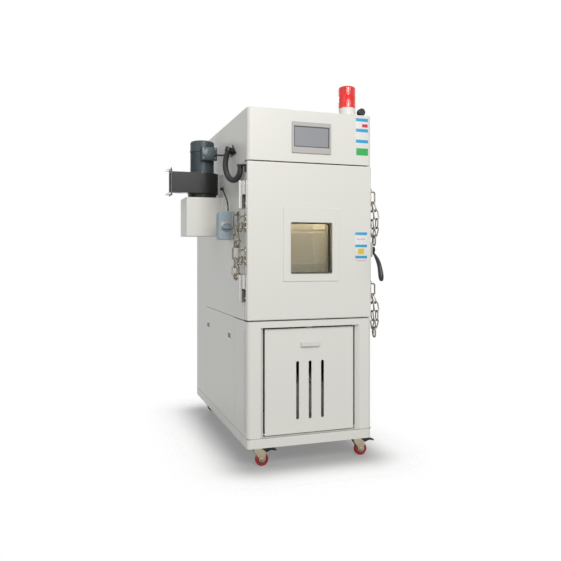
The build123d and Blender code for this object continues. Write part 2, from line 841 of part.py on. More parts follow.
def conduit_route():
    """Centre line of the black conduit, from its bracket down and up to the door's gland."""
    return [
        (-350, 262, 1530), (-355, 261, 1513), (-361, 258, 1491), (-366, 250, 1465), (-368, 235, 1436),
        (-366, 213, 1408), (-362, 186, 1387), (-357, 156, 1374), (-351, 126, 1369), (-345, 98, 1373),
        (-341.5, 76, 1382), (hinge_x, 60, 1395), (hinge_x, hinge_y, 1412), (hinge_x, hinge_y, 1427),
    ]


def motor_cable_route():
    """Centre line of the motor's cable, from the terminal box's boot to the conduit bracket."""
    x, y, z = motor_boot()
    x, y, z = blower_x + x, blower_y + y, motor_face() + z
    return [
        (x, y, z), (x, y - 18, z), (x + 4, y - 48, z - 5), (x + 12, y - 88, z - 13),
        (x + 20, y - 128, z - 17), (x + 27, y - 160, z - 18), (x + 31.5, y - 184, z - 17),
        (x + 31.5, y - 198, z - 17),
    ]


def switch_cable_route():
    """Centre line of the switch cable, from a gland behind the scroll down to the switch box."""
    return [
        (-331, 478, 1365), (-331, 462, 1365), (-335, 433, 1357), (-339, 396, 1340), (-341, 360, 1319),
        (-341, 330, 1300), (-341, 310, 1283), (-341, 297, 1264), (-341, 293, 1246), (-341, 293, 1233),
    ]


def cord_tube(route, radius, least):
    """Tube of straight runs joined by tangent arcs, each arc as large as its runs allow."""
    points = [Vector(*p) for p in route]
    radii = []
    for before, here, after in zip(points, points[1:], points[2:]):
        into, out = here - before, after - here
        turn = math.radians(into.get_angle(out))
        shorter = min(into.length, out.length)
        radii.append(0.45 * shorter / math.tan(turn / 2))
    print("cord radii", [round(r) for r in radii], "least allowed", least)
    path = FilletPolyline(*points, radius=radii)
    start = Plane(origin=points[0], z_dir=points[1] - points[0])
    tube = sweep(start * Circle(radius), path)
    print("cord length", round(path.length), "volume ratio",
          round(tube.volume / (math.pi * radius ** 2 * path.length), 4))
    return tube


def oval_link(length, width, wire_width):
    """Welded link: six-sided wire bent into a long ring, standing in X and Z."""
    bend = (width - wire_width) / 2
    half_straight = (length - width) / 2
    wire = Pos(bend, 0, 0) * RegularPolygon(wire_width / 2, 6)
    side = Pos(0, 0, -half_straight) * extrude(wire, 2 * half_straight)
    end = revolve(wire, Axis((0, 0, 0), (0, -1, 0)), 180)
    top = Pos(0, 0, half_straight) * end
    half = side + Rot(0, 0, 180) * side + top
    return half + Pos(0, 0, -half_straight) * mirror(end, about=Plane.XY)


def chain(start, headings):
    """Links laid end to end along the headings, each turned a quarter from the last.

    Two links that meet at an angle cross their wires a little further from the joint.
    """
    reach = (link_length - link_wire) / 2
    along = [Vector(*heading).normalized() for heading in headings]
    bends = [math.radians(one.get_angle(other)) for one, other in zip(along, along[1:])]
    crossings = [(link_wire + link_gap) / 2 / math.cos(bend / 2) ** 3 for bend in bends]
    crossings = [link_wire / 2] + crossings + [link_wire / 2]
    link = oval_link(link_length, link_width, link_wire)
    joint = Vector(*start)
    links = []
    for index, heading in enumerate(along):
        middle = joint + heading * (reach - crossings[index])
        level = heading.cross(Vector(1, 0, 0))
        wide = heading.cross(level) if index % 2 else level
        links.append(Plane(origin=middle, x_dir=wide, z_dir=heading) * link)
        joint = middle + heading * (reach - crossings[index + 1])
    print("chain of", len(links), "links ends at", joint)
    return links


def left_chains():
    """Slack chains of the hinge side, from the cabinet's staples to the bars on the hinge line."""
    headings = [(-3, -1.5, -42), (-4, -15, -39), (-1.5, -39.5, -14.5), (1.5, -34, 25),
                (3, -4.4, 42), (2, -21.1, 36.6)]
    links = []
    for bottom in left_staple_bottoms:
        links += chain((-338, cabinet_staple_y, bottom + staple_wire + 0.2), headings)
    return group(links)


def right_chains():
    """Chains of the door's free edge: two strands from the staple's leg, joined by a screw link."""
    front = [(8, -14, -39), (5, -6, -41.5), (0, 3.5, -42), (-6, 10, -40.6)]
    rear = [(4, 7.5, -41.3), (5, 4, -41.7), (3, -4, -41.8), (3, -4.4, -41.7)]
    links = []
    for bottom in right_staple_bottoms:
        top = bottom + staple_wire + 0.5
        links += chain((338.5, door_staple_y, top), front)
        links += chain((331, door_staple_y, top), rear)
        ring = oval_link(quick_link_length, quick_link_width, quick_link_wire)
        nut = extrude(RegularPolygon(quick_link_nut, 6), 20)
        ring += Pos((quick_link_width - quick_link_wire) / 2, 0, -10) * nut
        middle = Pos(346, door_staple_y - 2.5, top - 159.8 - quick_link_length / 2)
        links.append(middle * Rot(0, 0, 90) * ring)
    return group(links)


def staple_bar(path, radius):
    """Round bar bent along a path with rounded corners."""
    wire = FilletPolyline(*path, radius=staple_wire)
    start = Plane(origin=path[0], z_dir=Vector(*path[1]) - Vector(*path[0]))
    return sweep(start * RegularPolygon(radius, 8), wire)


def staple(side, y, bottom):
    """Bolted plate with a bar bent into an eye, on a wall that faces side."""
    wall = side * half_width
    plate_low = bottom - staple_plate_extra / 2
    plate_high = bottom + staple_height + staple_plate_extra / 2
    plate = block(wall, wall + side * staple_plate, y - staple_plate_width / 2,
                  y + staple_plate_width / 2, plate_low, plate_high)
    out = wall + side * staple_reach
    low = bottom + staple_wire / 2
    high = bottom + staple_height - staple_wire / 2
    face = wall + side * staple_plate / 2
    eye = staple_bar([(face, y, low), (out, y, low), (out, y, high), (face, y, high)], staple_wire / 2)
    plate += eye
    for z in (plate_low + 8, plate_high - 8):
        for shift_y in (-9, 9):
            plate += rod((wall, y + shift_y, z), (wall + side * (staple_plate + 3), y + shift_y, z), 4)
    return plate


def cabinet_staples():
    """Chain staples on the cabinet's sides."""
    left = [staple(-1, cabinet_staple_y, z) for z in left_staple_bottoms]
    right = [staple(1, cabinet_staple_y, z) for z in right_staple_bottoms]
    return group(left + right)


def hinge_side_staple(bottom):
    """Plate on the door's hinge edge whose bar stands on the hinge line."""
    wall = -half_width
    rear = door_staple_y + staple_plate_width / 2 - 4
    front = 6.0
    height = staple_height
    plate = block(wall - staple_plate, wall, front, rear, bottom - 10, bottom + height + 10)
    low = bottom + staple_wire / 2
    high = bottom + height - staple_wire / 2
    x = wall - staple_plate / 2 - staple_wire / 2
    path = [(x, front + 8, low), (hinge_x, hinge_y, low), (hinge_x, hinge_y, high), (x, front + 8, high)]
    plate += staple_bar(path, staple_wire / 2 - bar_play)
    for share in (0.0, 0.5, 1.0):
        z = bottom + 8 + share * (height - 16)
        plate += rod((wall, front + 7, z), (wall - staple_plate - 5, front + 7, z), 6)
    return plate


def door_staples():
    """Chain staples on both edges of the door."""
    left = [hinge_side_staple(z - hinge_staple_drop) for z in left_staple_bottoms]
    right = [staple(1, door_staple_y, z) for z in right_staple_bottoms]
    return group(left + right)


def window_box(grow, y0, y1):
    """Rectangular passage of the window, grown by a margin on every side."""
    return block(-window_width / 2 - grow, window_width / 2 + grow, y0, y1,
                 window_bottom - grow, window_bottom + window_height + grow)


def door_shell():
    """Painted pan of the door with the hole for the window."""
    shell = block(-half_width, half_width, 0, door_thickness, door_bottom, door_top)
    shell = fillet(vertical_edges_at(shell, 0), door_corner_radius)
    front = shell.faces().sort_by(Axis.Y)[0]
    flat = [e for e in front.edges() if abs(e.tangent_at(0.5).X) > 0.99]
    shell = fillet(flat, door_edge_radius)
    hollow = block(-half_width + door_skin, half_width - door_skin, door_skin, door_thickness + 1,
                   door_bottom + door_skin, door_top - door_skin)
    hollow = fillet(vertical_edges_at(hollow, door_skin), door_corner_radius - door_skin)
    front = hollow.faces().sort_by(Axis.Y)[0]
    flat = [e for e in front.edges() if abs(e.tangent_at(0.5).X) > 0.99]
    hollow = fillet(flat, door_edge_radius - door_skin)
    return shell - hollow - window_box(window_wall, -1, door_thickness)


def door_inner_pan():
    """Stainless back of the door: cover, tapered plug in the mouth and window tunnel."""
    edge = door_skin + 0.2
    cover = block(-half_width + edge, half_width - edge, door_thickness - pan_flange, door_thickness,
                  door_bottom + edge, door_top - edge)
    cover = fillet(cover.edges().filter_by(Axis.Y), door_corner_radius)
    middle = liner_bottom + liner_height / 2
    root = Plane(origin=(0, door_thickness, middle), x_dir=(1, 0, 0), z_dir=(0, 1, 0))
    tip = root.offset(plug_reach)
    plug = loft([
        root * Rectangle(plug_width, plug_height),
        tip * Rectangle(plug_width - 2 * plug_taper, plug_height - 2 * plug_taper),
    ])
    inner_root = Plane(origin=(0, door_thickness - pan_flange, middle), x_dir=(1, 0, 0), z_dir=(0, 1, 0))
    inner_tip = root.offset(plug_reach - pan_flange)
    hollow = loft([
        inner_root * Rectangle(plug_width - 2 * pan_flange, plug_height - 2 * pan_flange),
        inner_tip * Rectangle(plug_width - 2 * plug_taper - 2 * pan_flange,
                              plug_height - 2 * plug_taper - 2 * pan_flange),
    ])
    end = door_thickness + plug_reach
    tunnel = window_box(window_wall, 0, end) - window_box(0, -1, end + 1)
    return cover + plug - hollow - window_box(window_wall, 0, end + 1) + tunnel


def door_gasket():
    """Silicone seal round the plug, pressed between door and jamb."""
    middle = liner_bottom + liner_height / 2
    y = (door_thickness + jamb_front - gasket_play) / 2
    thickness = jamb_front - gasket_play - door_thickness
    inner_width, inner_height = plug_width + 40, plug_height + 40
    outer = Pos(0, y, middle) * Box(inner_width + 2 * gasket_width, thickness, inner_height + 2 * gasket_width)
    outer = fillet(outer.edges().filter_by(Axis.Y), 30)
    hole = Pos(0, y, middle) * Box(inner_width, 2 * thickness, inner_height)
    hole = fillet(hole.edges().filter_by(Axis.Y), 12)
    return outer - hole


def window_frame():
    """Raised frame plate on the door's face around the window."""
    x = window_width / 2 + window_frame_side
    low = window_bottom - window_frame_foot
    high = window_bottom + window_height + window_frame_head
    plate = block(-x, x, -window_frame_thickness, 0, low, high)
    plate = chamfer(plate.faces().sort_by(Axis.Y)[0].outer_wire().edges(), 1.5)
    return plate - window_box(0, -window_frame_thickness - 1, 1)


def window_panes():
    """Front and rear panes, held in the window tunnel by their edges."""
    front = window_box(0, front_pane_depth, front_pane_depth + pane_thickness)
    end = door_thickness + plug_reach
    rear = window_box(0, end - pane_thickness - 3, end - 3)
    return group([front, rear])


def cabinet_hinge(bottom):
    """Lower half barrel with its pin and the leaf on the cabinet's side."""
    split = bottom + hinge_height / 2
    barrel = rod((hinge_x, hinge_y, bottom), (hinge_x, hinge_y, split - rest_gap), hinge_barrel_radius)
    wall = -half_width
    leaf = block(wall - hinge_leaf, wall, jamb_front + 8, jamb_front + hinge_cabinet_leaf,
                 bottom, bottom + hinge_height)
    web = upright(
        [(hinge_x, hinge_y), (hinge_x + 4, hinge_y + 9), (wall - hinge_leaf, jamb_front + 22),
         (wall, jamb_front + 22), (wall, jamb_front + 8), (hinge_x + 8, hinge_y + 2)],
        bottom, split - rest_gap,
    )
    pin = rod((hinge_x, hinge_y, bottom + 4), (hinge_x, hinge_y, bottom + hinge_height - 3), hinge_pin_radius)
    return barrel + leaf + web + pin


def cabinet_hinge_leaves():
    """Fixed halves of both hinges."""
    return group([cabinet_hinge(z) for z in hinge_bottoms])


def door_hinge(bottom):
    """Upper half barrel with the leaf on the door's edge."""
    split = bottom + hinge_height / 2
    top = bottom + hinge_height
    barrel = rod((hinge_x, hinge_y, split), (hinge_x, hinge_y, top), hinge_barrel_radius)
    wall = -half_width
    rear = door_thickness - 6
    leaf = block(wall - hinge_leaf, wall, rear - hinge_door_leaf + 4, rear, bottom, top)
    web = upright(
        [(hinge_x, hinge_y), (wall - hinge_leaf, rear - 12), (wall, rear - 12), (wall, rear),
         (wall - hinge_leaf, rear), (hinge_x + 8, hinge_y + 3)],
        split, top,
    )
    bore = rod((hinge_x, hinge_y, split - 1), (hinge_x, hinge_y, top - 2), hinge_pin_radius + shaft_clearance)
    return barrel + leaf + web - bore


def door_hinge_leaves():
    """Moving halves of both hinges."""
    return group([door_hinge(z) for z in hinge_bottoms])


def conduit_gland():
    """Gland on the door's hinge edge, on the hinge line, that takes the conduit's end."""
    end = conduit_route()[-1]
    wall = -half_width
    body = rod((end[0], end[1], end[2] + rest_gap), (end[0], end[1], end[2] + 7), conduit_radius + 3)
    arm = block(hinge_x, wall, 14, 40, end[2] + 1.5, end[2] + 6)
    foot = block(wall - 3, wall, 14, 40, end[2] - 30, end[2] + 6)
    return body + arm + foot


def latch_base():
    """Plate on the door's free edge with the handle's pivot pin."""
    wall = half_width
    base = block(wall, wall + latch_base_thickness, handle_pivot_y - latch_base_width / 2 - 6,
                 handle_pivot_y + latch_base_width / 2 - 6, handle_pivot_z - latch_base_height / 2,
                 handle_pivot_z + latch_base_height / 2)
    base = fillet(base.edges().filter_by(Axis.X), 8)
    return base + rod((wall, handle_pivot_y, handle_pivot_z), (handle_x + 13, handle_pivot_y, handle_pivot_z),
                      handle_pivot_radius)


def handle():
    """Lever: hub on the pin, cranked neck, swollen grip and the cam nose behind."""
    wall = half_width + latch_base_thickness + rest_gap
    centre = (handle_pivot_y, handle_pivot_z)
    hub = rod((wall, *centre), (handle_x + 9, *centre), 15)
    stations = [
        ((handle_x, 26, 1026), (0, -1, -1), 8.0),
        ((handle_x, -10, 998), (0, -1, -0.9), 8.5),
        ((handle_x + 1, -38, 966), (0, -0.6, -1), 11.5),
        ((handle_x + 2, -54, 925), (0, -0.3, -1), 13.5),
        ((handle_x + 2, -62, 892), (0, -0.15, -1), 12.5),
        ((handle_x + 2, -64, 880), (0, -0.1, -1), 7.0),
    ]
    sections = []
    for origin, facing, radius in stations:
        plane = Plane(origin=origin, x_dir=(1, 0, 0), z_dir=facing)
        sections.append(plane * Ellipse(radius * 0.9, radius))
    lever = loft(sections)
    nose = across([(handle_pivot_y + 8, handle_pivot_z - 8), (jamb_front + 16, handle_pivot_z - 26),
                   (jamb_front + 20, handle_pivot_z - 18), (handle_pivot_y + 12, handle_pivot_z + 8)],
                  wall, wall + 10)
    pin_hole = rod((half_width, *centre), (handle_x + 30, *centre), handle_pivot_radius + shaft_clearance)
    return hub + lever + nose - pin_hole


def latch_striker():
    """Angle with a roller on the cabinet's right side."""
    wall = half_width
    plate = block(wall, wall + 4, jamb_front + 4, jamb_front + 44, handle_pivot_z - 40, handle_pivot_z + 34)
    y = jamb_front + 18
    roller = rod((wall + 4, y, handle_pivot_z + 4), (wall + 20, y, handle_pivot_z + 4), 7)
    return group([plate, roller])


def service_panel():
    """Folded panel with three vents and a shell pull; it tips out about its lower edge."""
    half = service_width / 2
    rear = service_front + service_thickness
    panel = block(-half, half, service_front, rear, service_bottom, service_top)
    panel = fillet(panel.faces().sort_by(Axis.Y)[0].outer_wire().edges(), 1.5)
    panel -= block(-half + sheet, half - sheet, service_front + sheet, rear + 1,
                   service_bottom + sheet, service_top - sheet)
    for index in (-1, 0, 1):
        x = index * slot_pitch
        middle = (slot_bottom + slot_top) / 2
        slot = Plane.XZ * Pos(x, middle) * SlotOverall(slot_top - slot_bottom, slot_width, rotation=90)
        panel -= extrude(slot, -(service_front + 3 * sheet))
    for side in (-1, 1):
        panel -= rod((side * (half - 3 * sheet), service_pivot_y, service_pivot_z),
                     (side * (half + 1), service_pivot_y, service_pivot_z), service_pin_radius + shaft_clearance)
    return panel


def panel_pull():
    """Light cup pull on the service panel."""
    y0 = service_front - pull_reach
    pull = block(-pull_width / 2, pull_width / 2, y0, service_front, pull_bottom, pull_bottom + pull_height)
    pull = fillet(pull.edges().filter_by(Axis.Y), 6)
    pull = chamfer(pull.faces().sort_by(Axis.Y)[0].outer_wire().edges(), 3)
    cup = block(-pull_width / 2 + 3, pull_width / 2 - 3, y0 + 3, service_front + 1, pull_bottom - 1,
                pull_bottom + pull_height - 4)
    return pull - cup


def caster_place(column, row):
    """Swivel axis of a caster: column -1 or 1, row 0 in front and 1 behind."""
    y = caster_inset if row == 0 else cabinet_depth - caster_inset
    return column * caster_x, y


caster_names = {(-1, 0): "front_left", (1, 0): "front_right", (-1, 1): "rear_left", (1, 1): "rear_right"}


def caster_plates():
    """Mounting plates and swivel heads under the base's corners."""
    plates = []
    for column, row in caster_names:
        x, y = caster_place(column, row)
        plate = Pos(x, y, base_bottom - caster_plate_thickness / 2) * Box(
            caster_plate, caster_plate, caster_plate_thickness
        )
        plate = fillet(plate.edges().filter_by(Axis.Z), 8)
        low = base_bottom - caster_plate_thickness - 9
        plates.append(plate + rod((x, y, low), (x, y, base_bottom - 1), 17)
                      + rod((x, y, low - 12), (x, y, base_bottom - 1), 6))
    return group(plates)


def fork_top():
    """Level of the fork's crown."""
    return base_bottom - caster_plate_thickness - 9 - rest_gap


def caster_fork():
    """Pressed fork: crown with a bore for the king pin, two cheeks swept back to the axle."""
    top = fork_top()
    inner = wheel_width / 2 + 1.5
    crown = Cylinder(19, fork_sheet, align=(Align.CENTER, Align.CENTER, Align.MAX))
    crown += Pos(4, 0, -fork_sheet / 2) * Box(34, 2 * (inner + fork_sheet), fork_sheet)
    outline = [
        (-14, 0), (21, 0), (caster_trail + 17, -22), (caster_trail + 17, -32),
        (caster_trail + 11, wheel_radius - top - 4), (caster_trail, wheel_radius - top - 9),
        (caster_trail - 9, wheel_radius - top - 4), (-14, -14),
    ]
    cheek = sideways(outline, inner, inner + fork_sheet)
    fork = crown + cheek + mirror(cheek, about=Plane.XZ)
    fork -= Cylinder(6 + shaft_clearance, 40)
    axle = rod((caster_trail, -inner - fork_sheet - 3, wheel_radius - top),
               (caster_trail, inner + fork_sheet + 3, wheel_radius - top), axle_radius)
    for side in (-1, 1):
        end = side * (inner + fork_sheet)
        axle += rod((caster_trail, end, wheel_radius - top), (caster_trail, end + side * 5, wheel_radius - top), 7)
    return Pos(0, 0, top) * (fork + axle)


def caster_wheel():
    """Wheel with a soft tread, dished hub and axle bore."""
    half = wheel_width / 2
    bore = axle_radius + shaft_clearance
    profile = Plane.XZ * Polygon(
        (bore, half), (10, half), (12, half - 4), (wheel_radius - 9, half - 4), (wheel_radius - 7, half),
        (wheel_radius - 3, half), (wheel_radius, half - 4), (wheel_radius, 4 - half), (wheel_radius - 3, -half),
        (wheel_radius - 7, -half), (wheel_radius - 9, 4 - half), (12, 4 - half), (10, -half), (bore, -half),
        align=None,
    )
    disc = revolve(profile, Axis.Z)
    return Pos(caster_trail, 0, wheel_radius) * Rot(90, 0, 0) * disc


def pedal_pivot():
    """Pivot of the brake pedal on the fork's cheeks, in the caster's own frame."""
    return caster_trail + 10, fork_top() - 16


def brake_pedal():
    """Black brake pedal, hinged between the fork's cheeks above the wheel."""
    x, z = pedal_pivot()
    half = wheel_width / 2 + 1.2
    wing = across_pedal(x, z, half)
    return wing - rod((x, -half - 1, z), (x, half + 1, z), pedal_radius / 2 + shaft_clearance)


def across_pedal(x, z, half):
    """Side outline of the pedal: a lug at the pivot and a raised toe plate."""
    outline = [
        (x - 5, z + 3), (x - 9, z + 12), (x + 12, z + 19), (x + 30, z + 14), (x + 62, z + 1), (x + 60, z - 4),
        (x + 34, z + 1), (x + 12, z - 7), (x + 2, z - 5), (x - 4, z - 3),
    ]
    return sideways(outline, -half, half)


def straight_bar():
    """Pin of the brake pedal across the fork."""
    x, z = pedal_pivot()
    reach = wheel_width / 2 + 1.5 + fork_sheet
    return rod((x, -reach, z), (x, reach, z), pedal_radius / 2)


def caster_parts():
    """Forks, wheels and brake pedals of the four casters."""
    found = {}
    for place, name in caster_names.items():
        x, y = caster_place(*place)
        fork = caster_fork()
        if place[1] == 0:
            fork += straight_bar()
            found[name + "_pedal"] = Pos(x, y, 0) * brake_pedal()
        found[name + "_fork"] = Pos(x, y, 0) * fork
        found[name + "_wheel"] = Pos(x, y, 0) * caster_wheel()
    return found


def build_parts():
    """Every sub-part by its name, in cabinet coordinates."""
    found = {}
    for maker in (
        upper_casing, screen_bezel, touch_screen, rear_panel, lower_frame, base_frame, side_panels, side_pulls,
        insulation, inner_liner, wire_shelves, air_baffle, evaporator, circulation_fan, fan_motor, cable_port,
        compressor, water_tank, beacon_base, beacon_lens, cable_glands, duct_box, blower_housing, outlet_bolts,
        blower_impeller, blower_motor, switch_box, switch_knob, conduit_bracket, left_chains, right_chains,
        cabinet_staples, door_staples, door_shell, door_inner_pan, door_gasket, window_frame, window_panes,
        cabinet_hinge_leaves, door_hinge_leaves, conduit_gland, latch_base, handle, latch_striker, service_panel,
        panel_pull, caster_plates,
    ):
        found[maker.__name__] = maker()
    found["motor_cable"] = cord_tube(motor_cable_route(), motor_cable_radius, 5 * 2 * motor_cable_radius)
    found["switch_cable"] = cord_tube(switch_cable_route(), switch_cable_radius, 5 * 2 * switch_cable_radius)
    found["door_conduit"] = cord_tube(conduit_route(), conduit_radius, 2 * conduit_radius)
    found.update(caster_parts())
    return found


def row_shift(found):
    """Move that puts the origin under the middle of the whole chamber."""
    boxes = [shape.bounding_box() for shape in found.values()]
    middle_x = (min(b.min.X for b in boxes) + max(b.max.X for b in boxes)) / 2
    middle_y = (min(b.min.Y for b in boxes) + max(b.max.Y for b in boxes)) / 2
    return Pos(-middle_x, -middle_y, 0)


parts = build_parts()
shift = row_shift(parts)
os.makedirs("parts", exist_ok=True)
for name, shape in parts.items():
    export_step(shift * shape, f"parts/{name}.step")
print(len(parts), "sub-parts, origin shifted by", shift.position)
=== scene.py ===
import json
import math

import bmesh
import bpy
import numpy as np
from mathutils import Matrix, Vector

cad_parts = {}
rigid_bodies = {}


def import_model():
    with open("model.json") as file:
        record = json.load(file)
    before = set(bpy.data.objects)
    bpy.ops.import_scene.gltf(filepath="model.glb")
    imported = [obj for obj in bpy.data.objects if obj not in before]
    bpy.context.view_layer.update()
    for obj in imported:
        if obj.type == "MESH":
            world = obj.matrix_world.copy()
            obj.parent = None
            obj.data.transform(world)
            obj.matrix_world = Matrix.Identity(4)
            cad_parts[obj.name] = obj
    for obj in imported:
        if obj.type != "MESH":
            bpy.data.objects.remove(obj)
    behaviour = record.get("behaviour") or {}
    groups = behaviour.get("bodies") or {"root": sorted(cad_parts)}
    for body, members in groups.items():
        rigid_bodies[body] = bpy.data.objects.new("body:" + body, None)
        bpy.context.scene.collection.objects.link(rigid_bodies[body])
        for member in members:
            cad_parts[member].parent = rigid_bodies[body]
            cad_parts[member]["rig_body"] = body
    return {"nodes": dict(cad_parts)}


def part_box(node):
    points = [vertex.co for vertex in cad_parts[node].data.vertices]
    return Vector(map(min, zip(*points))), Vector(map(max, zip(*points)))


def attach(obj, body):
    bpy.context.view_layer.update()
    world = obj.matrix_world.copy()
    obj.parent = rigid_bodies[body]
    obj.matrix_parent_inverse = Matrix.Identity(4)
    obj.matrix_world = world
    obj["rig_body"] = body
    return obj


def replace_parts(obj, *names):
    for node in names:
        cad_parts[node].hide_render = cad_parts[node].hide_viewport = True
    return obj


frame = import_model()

for factory_object in ("Cube", "Light", "Camera"):
    if factory_object in bpy.data.objects:
        bpy.data.objects.remove(bpy.data.objects[factory_object])
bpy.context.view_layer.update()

frame_low, frame_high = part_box("lower_frame")
cabinet_middle_x = (frame_low.x + frame_high.x) / 2
cabinet_front_y = frame_low.y


def at(points):
    """Points in the cabinet's own metres (x from its middle, y from its front) as points of the row."""
    return np.asarray(points, float) + np.array([cabinet_middle_x, cabinet_front_y, 0.0])


# Meshes

def lofted(rings, closed=False):
    """Skin over rings of points, (ring, point, xyz): quads between neighbours, flat caps unless closed.

    A skin is its points and a list of face blocks, each an array with one face in a row.
    """
    rings = np.asarray(rings, float)
    count, around = rings.shape[:2]
    index = np.arange(count * around).reshape(count, around)
    beside = np.roll(index, -1, axis=1)
    last = count if closed else count - 1
    ahead, ahead_beside = np.roll(index, -1, axis=0), np.roll(beside, -1, axis=0)
    quads = np.stack([index, beside, ahead_beside, ahead], axis=-1)[:last].reshape(-1, 4)
    caps = [] if closed else [index[:1], index[-1:]]
    return rings.reshape(-1, 3), [quads, *caps]


def together(parts):
    """Several skins as one, each skin's indices moved past the last one's points."""
    points, faces, start = [], [], 0
    for part_points, part_faces in parts:
        points.append(part_points)
        faces += [block + start for block in part_faces]
        start += len(part_points)
    return np.concatenate(points), faces


def piece(name, skin, like, surface, angle=40):
    """Mesh object of a skin in cabinet metres, on the body of the CAD node it goes with.

    Edges sharper than the angle, in degrees, stay sharp.
    """
    points, faces = skin
    mesh = bpy.data.meshes.new(name)
    mesh.from_pydata(at(points), [], [face for block in faces for face in block.tolist()])
    work = bmesh.new()
    work.from_mesh(mesh)
    bmesh.ops.recalc_face_normals(work, faces=work.faces)
    work.to_mesh(mesh)
    work.free()
    mesh.polygons.foreach_set("use_smooth", np.ones(len(mesh.polygons), bool))
    mesh.set_sharp_from_angle(angle=math.radians(angle))
    mesh.materials.append(finishes[surface])
    made = bpy.data.objects.new(name, mesh)
    bpy.context.scene.collection.objects.link(made)
    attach(made, frame["nodes"][like]["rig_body"])
    return made


def rounded_rectangle(width, height, radius, steps=6):
    """Closed outline: four quarter circles of the radius about the inset corners, in order."""
    turn = np.linspace(0, math.pi / 2, steps)
    angle = (turn[None, :] + np.arange(4)[:, None] * math.pi / 2).ravel()
    side_x = np.repeat([1, -1, -1, 1], steps) * (width / 2 - radius)
    side_y = np.repeat([1, 1, -1, -1], steps) * (height / 2 - radius)
    return np.stack([side_x + radius * np.cos(angle), side_y + radius * np.sin(angle)], axis=-1)


axes = {"x": (1, 2, 0), "y": (0, 2, 1), "z": (0, 1, 2)}


def facing(outline, depth, axis, centre):
    """Flat outline stood at a depth along an axis, about a centre."""
    points = np.zeros((len(outline), 3))
    first, second, third = axes[axis]
    points[:, first] = outline[:, 0]
    points[:, second] = outline[:, 1]
    points[:, third] = depth
    return points + np.asarray(centre, float)


def plate(width, height, radius, thickness, axis, centre, ease=0.0006):
    """Rounded plate with eased edges: its outline, drawn in by the ease at both faces."""
    outer = rounded_rectangle(width, height, radius)
    inner = rounded_rectangle(width - 2 * ease, height - 2 * ease, max(radius - ease, ease))
    side = math.copysign(1, thickness)
    depths = [0, side * ease * 0.5, thickness - side * ease * 0.5, thickness]
    outlines = (inner, outer, outer, inner)
    return lofted([facing(outline, depth, axis, centre) for outline, depth in zip(outlines, depths)])


def frame_ring(width, height, radius, bar, thickness, axis, centre):
    """Rectangular ring of an oval section: its outline grows with a cosine while its depth follows the sine."""
    rings = []
    for turn in np.arange(12) * math.pi / 6:
        grow = bar * math.cos(turn)
        outline = rounded_rectangle(width + grow, height + grow, radius + (grow + bar) / 2)
        rings.append(facing(outline, thickness * math.sin(turn) / 2, axis, centre))
    return lofted(rings, closed=True)


def turned(profile, axis, centre, sides=32):
    """Profile of (radius, height) pairs turned once round the axis: circles of each radius at each height."""
    profile = np.asarray(profile, float)
    angle = np.arange(sides) * 2 * math.pi / sides
    circle = np.stack([np.cos(angle), np.sin(angle)], axis=-1)
    return lofted([facing(circle * radius, height, axis, centre) for radius, height in profile])


def many(profile, axis, centres, sides=16):
    """The same turned profile at several centres."""
    return together([turned(profile, axis, centre, sides) for centre in centres])


def upside_down(profile):
    """The same profile pointing the other way along its axis."""
    return [(radius, -height) for radius, height in profile]


def carried(section, path, upward):
    """Section of (out, up) pairs carried along a path: out is across the path, up is the given direction."""
    path = np.asarray(path, float)
    ahead = np.gradient(path, axis=0)
    up = np.broadcast_to(np.asarray(upward, float), path.shape)
    out = np.cross(ahead, up)
    out /= np.linalg.norm(out, axis=1)[:, None]
    section = np.asarray(section, float)
    return path[:, None] + section[None, :, :1] * out[:, None] + section[None, :, 1:] * up[:, None]


# Shader groups

speck_contrast = 3.0
wear_patch_scale = 160
wear_gain = 6.0
dust_patch_scale = 25


def shader_group(name, inputs, outputs):
    """Empty shader group with its named sockets, and its input and output nodes."""
    made = bpy.data.node_groups.new(name, "ShaderNodeTree")
    for label, kind, value in inputs:
        socket = made.interface.new_socket(label, in_out="INPUT", socket_type=kind)
        if value is not None:
            socket.default_value = value
    for label, kind in outputs:
        made.interface.new_socket(label, in_out="OUTPUT", socket_type=kind)
    return made, made.nodes.new("NodeGroupInput"), made.nodes.new("NodeGroupOutput")


def math_node(tree, operation, first, second=None, third=None):
    """Math node over sockets or numbers; returns its value."""
    node = tree.nodes.new("ShaderNodeMath")
    node.operation = operation
    for slot, value in enumerate((first, second, third)):
        if isinstance(value, (int, float)):
            node.inputs[slot].default_value = value
        elif value is not None:
            tree.links.new(value, node.inputs[slot])
    return node.outputs[0]


def grain_group():
    """Fine surface grain: two noises on stretched object coordinates, a close one and a broad cloudy one."""
    tree, given, result = shader_group("surface_grain", [
        ("Vector", "NodeSocketVector", None), ("Stretch", "NodeSocketVector", (1, 1, 1)),
        ("Fine", "NodeSocketFloat", 900.0), ("Broad", "NodeSocketFloat", 4.0),
    ], [("Height", "NodeSocketFloat"), ("Cloud", "NodeSocketFloat"), ("Speck", "NodeSocketFloat")])
    stretch = tree.nodes.new("ShaderNodeVectorMath")
    stretch.operation = "MULTIPLY"
    tree.links.new(given.outputs["Vector"], stretch.inputs[0])
    tree.links.new(given.outputs["Stretch"], stretch.inputs[1])
    for label, target, source, detail in (("Fine", "Height", stretch.outputs[0], 2.0),
                                          ("Broad", "Cloud", given.outputs["Vector"], 4.0)):
        noise = tree.nodes.new("ShaderNodeTexNoise")
        noise.inputs["Detail"].default_value = detail
        tree.links.new(source, noise.inputs["Vector"])
        tree.links.new(given.outputs[label], noise.inputs["Scale"])
        tree.links.new(noise.outputs["Fac"], result.inputs[target])
        if label == "Fine":
            speck = math_node(tree, "SUBTRACT", noise.outputs["Fac"], 0.5)
            speck = math_node(tree, "MULTIPLY_ADD", speck, speck_contrast, 0.5)
            tree.links.new(speck, result.inputs["Speck"])
    return tree


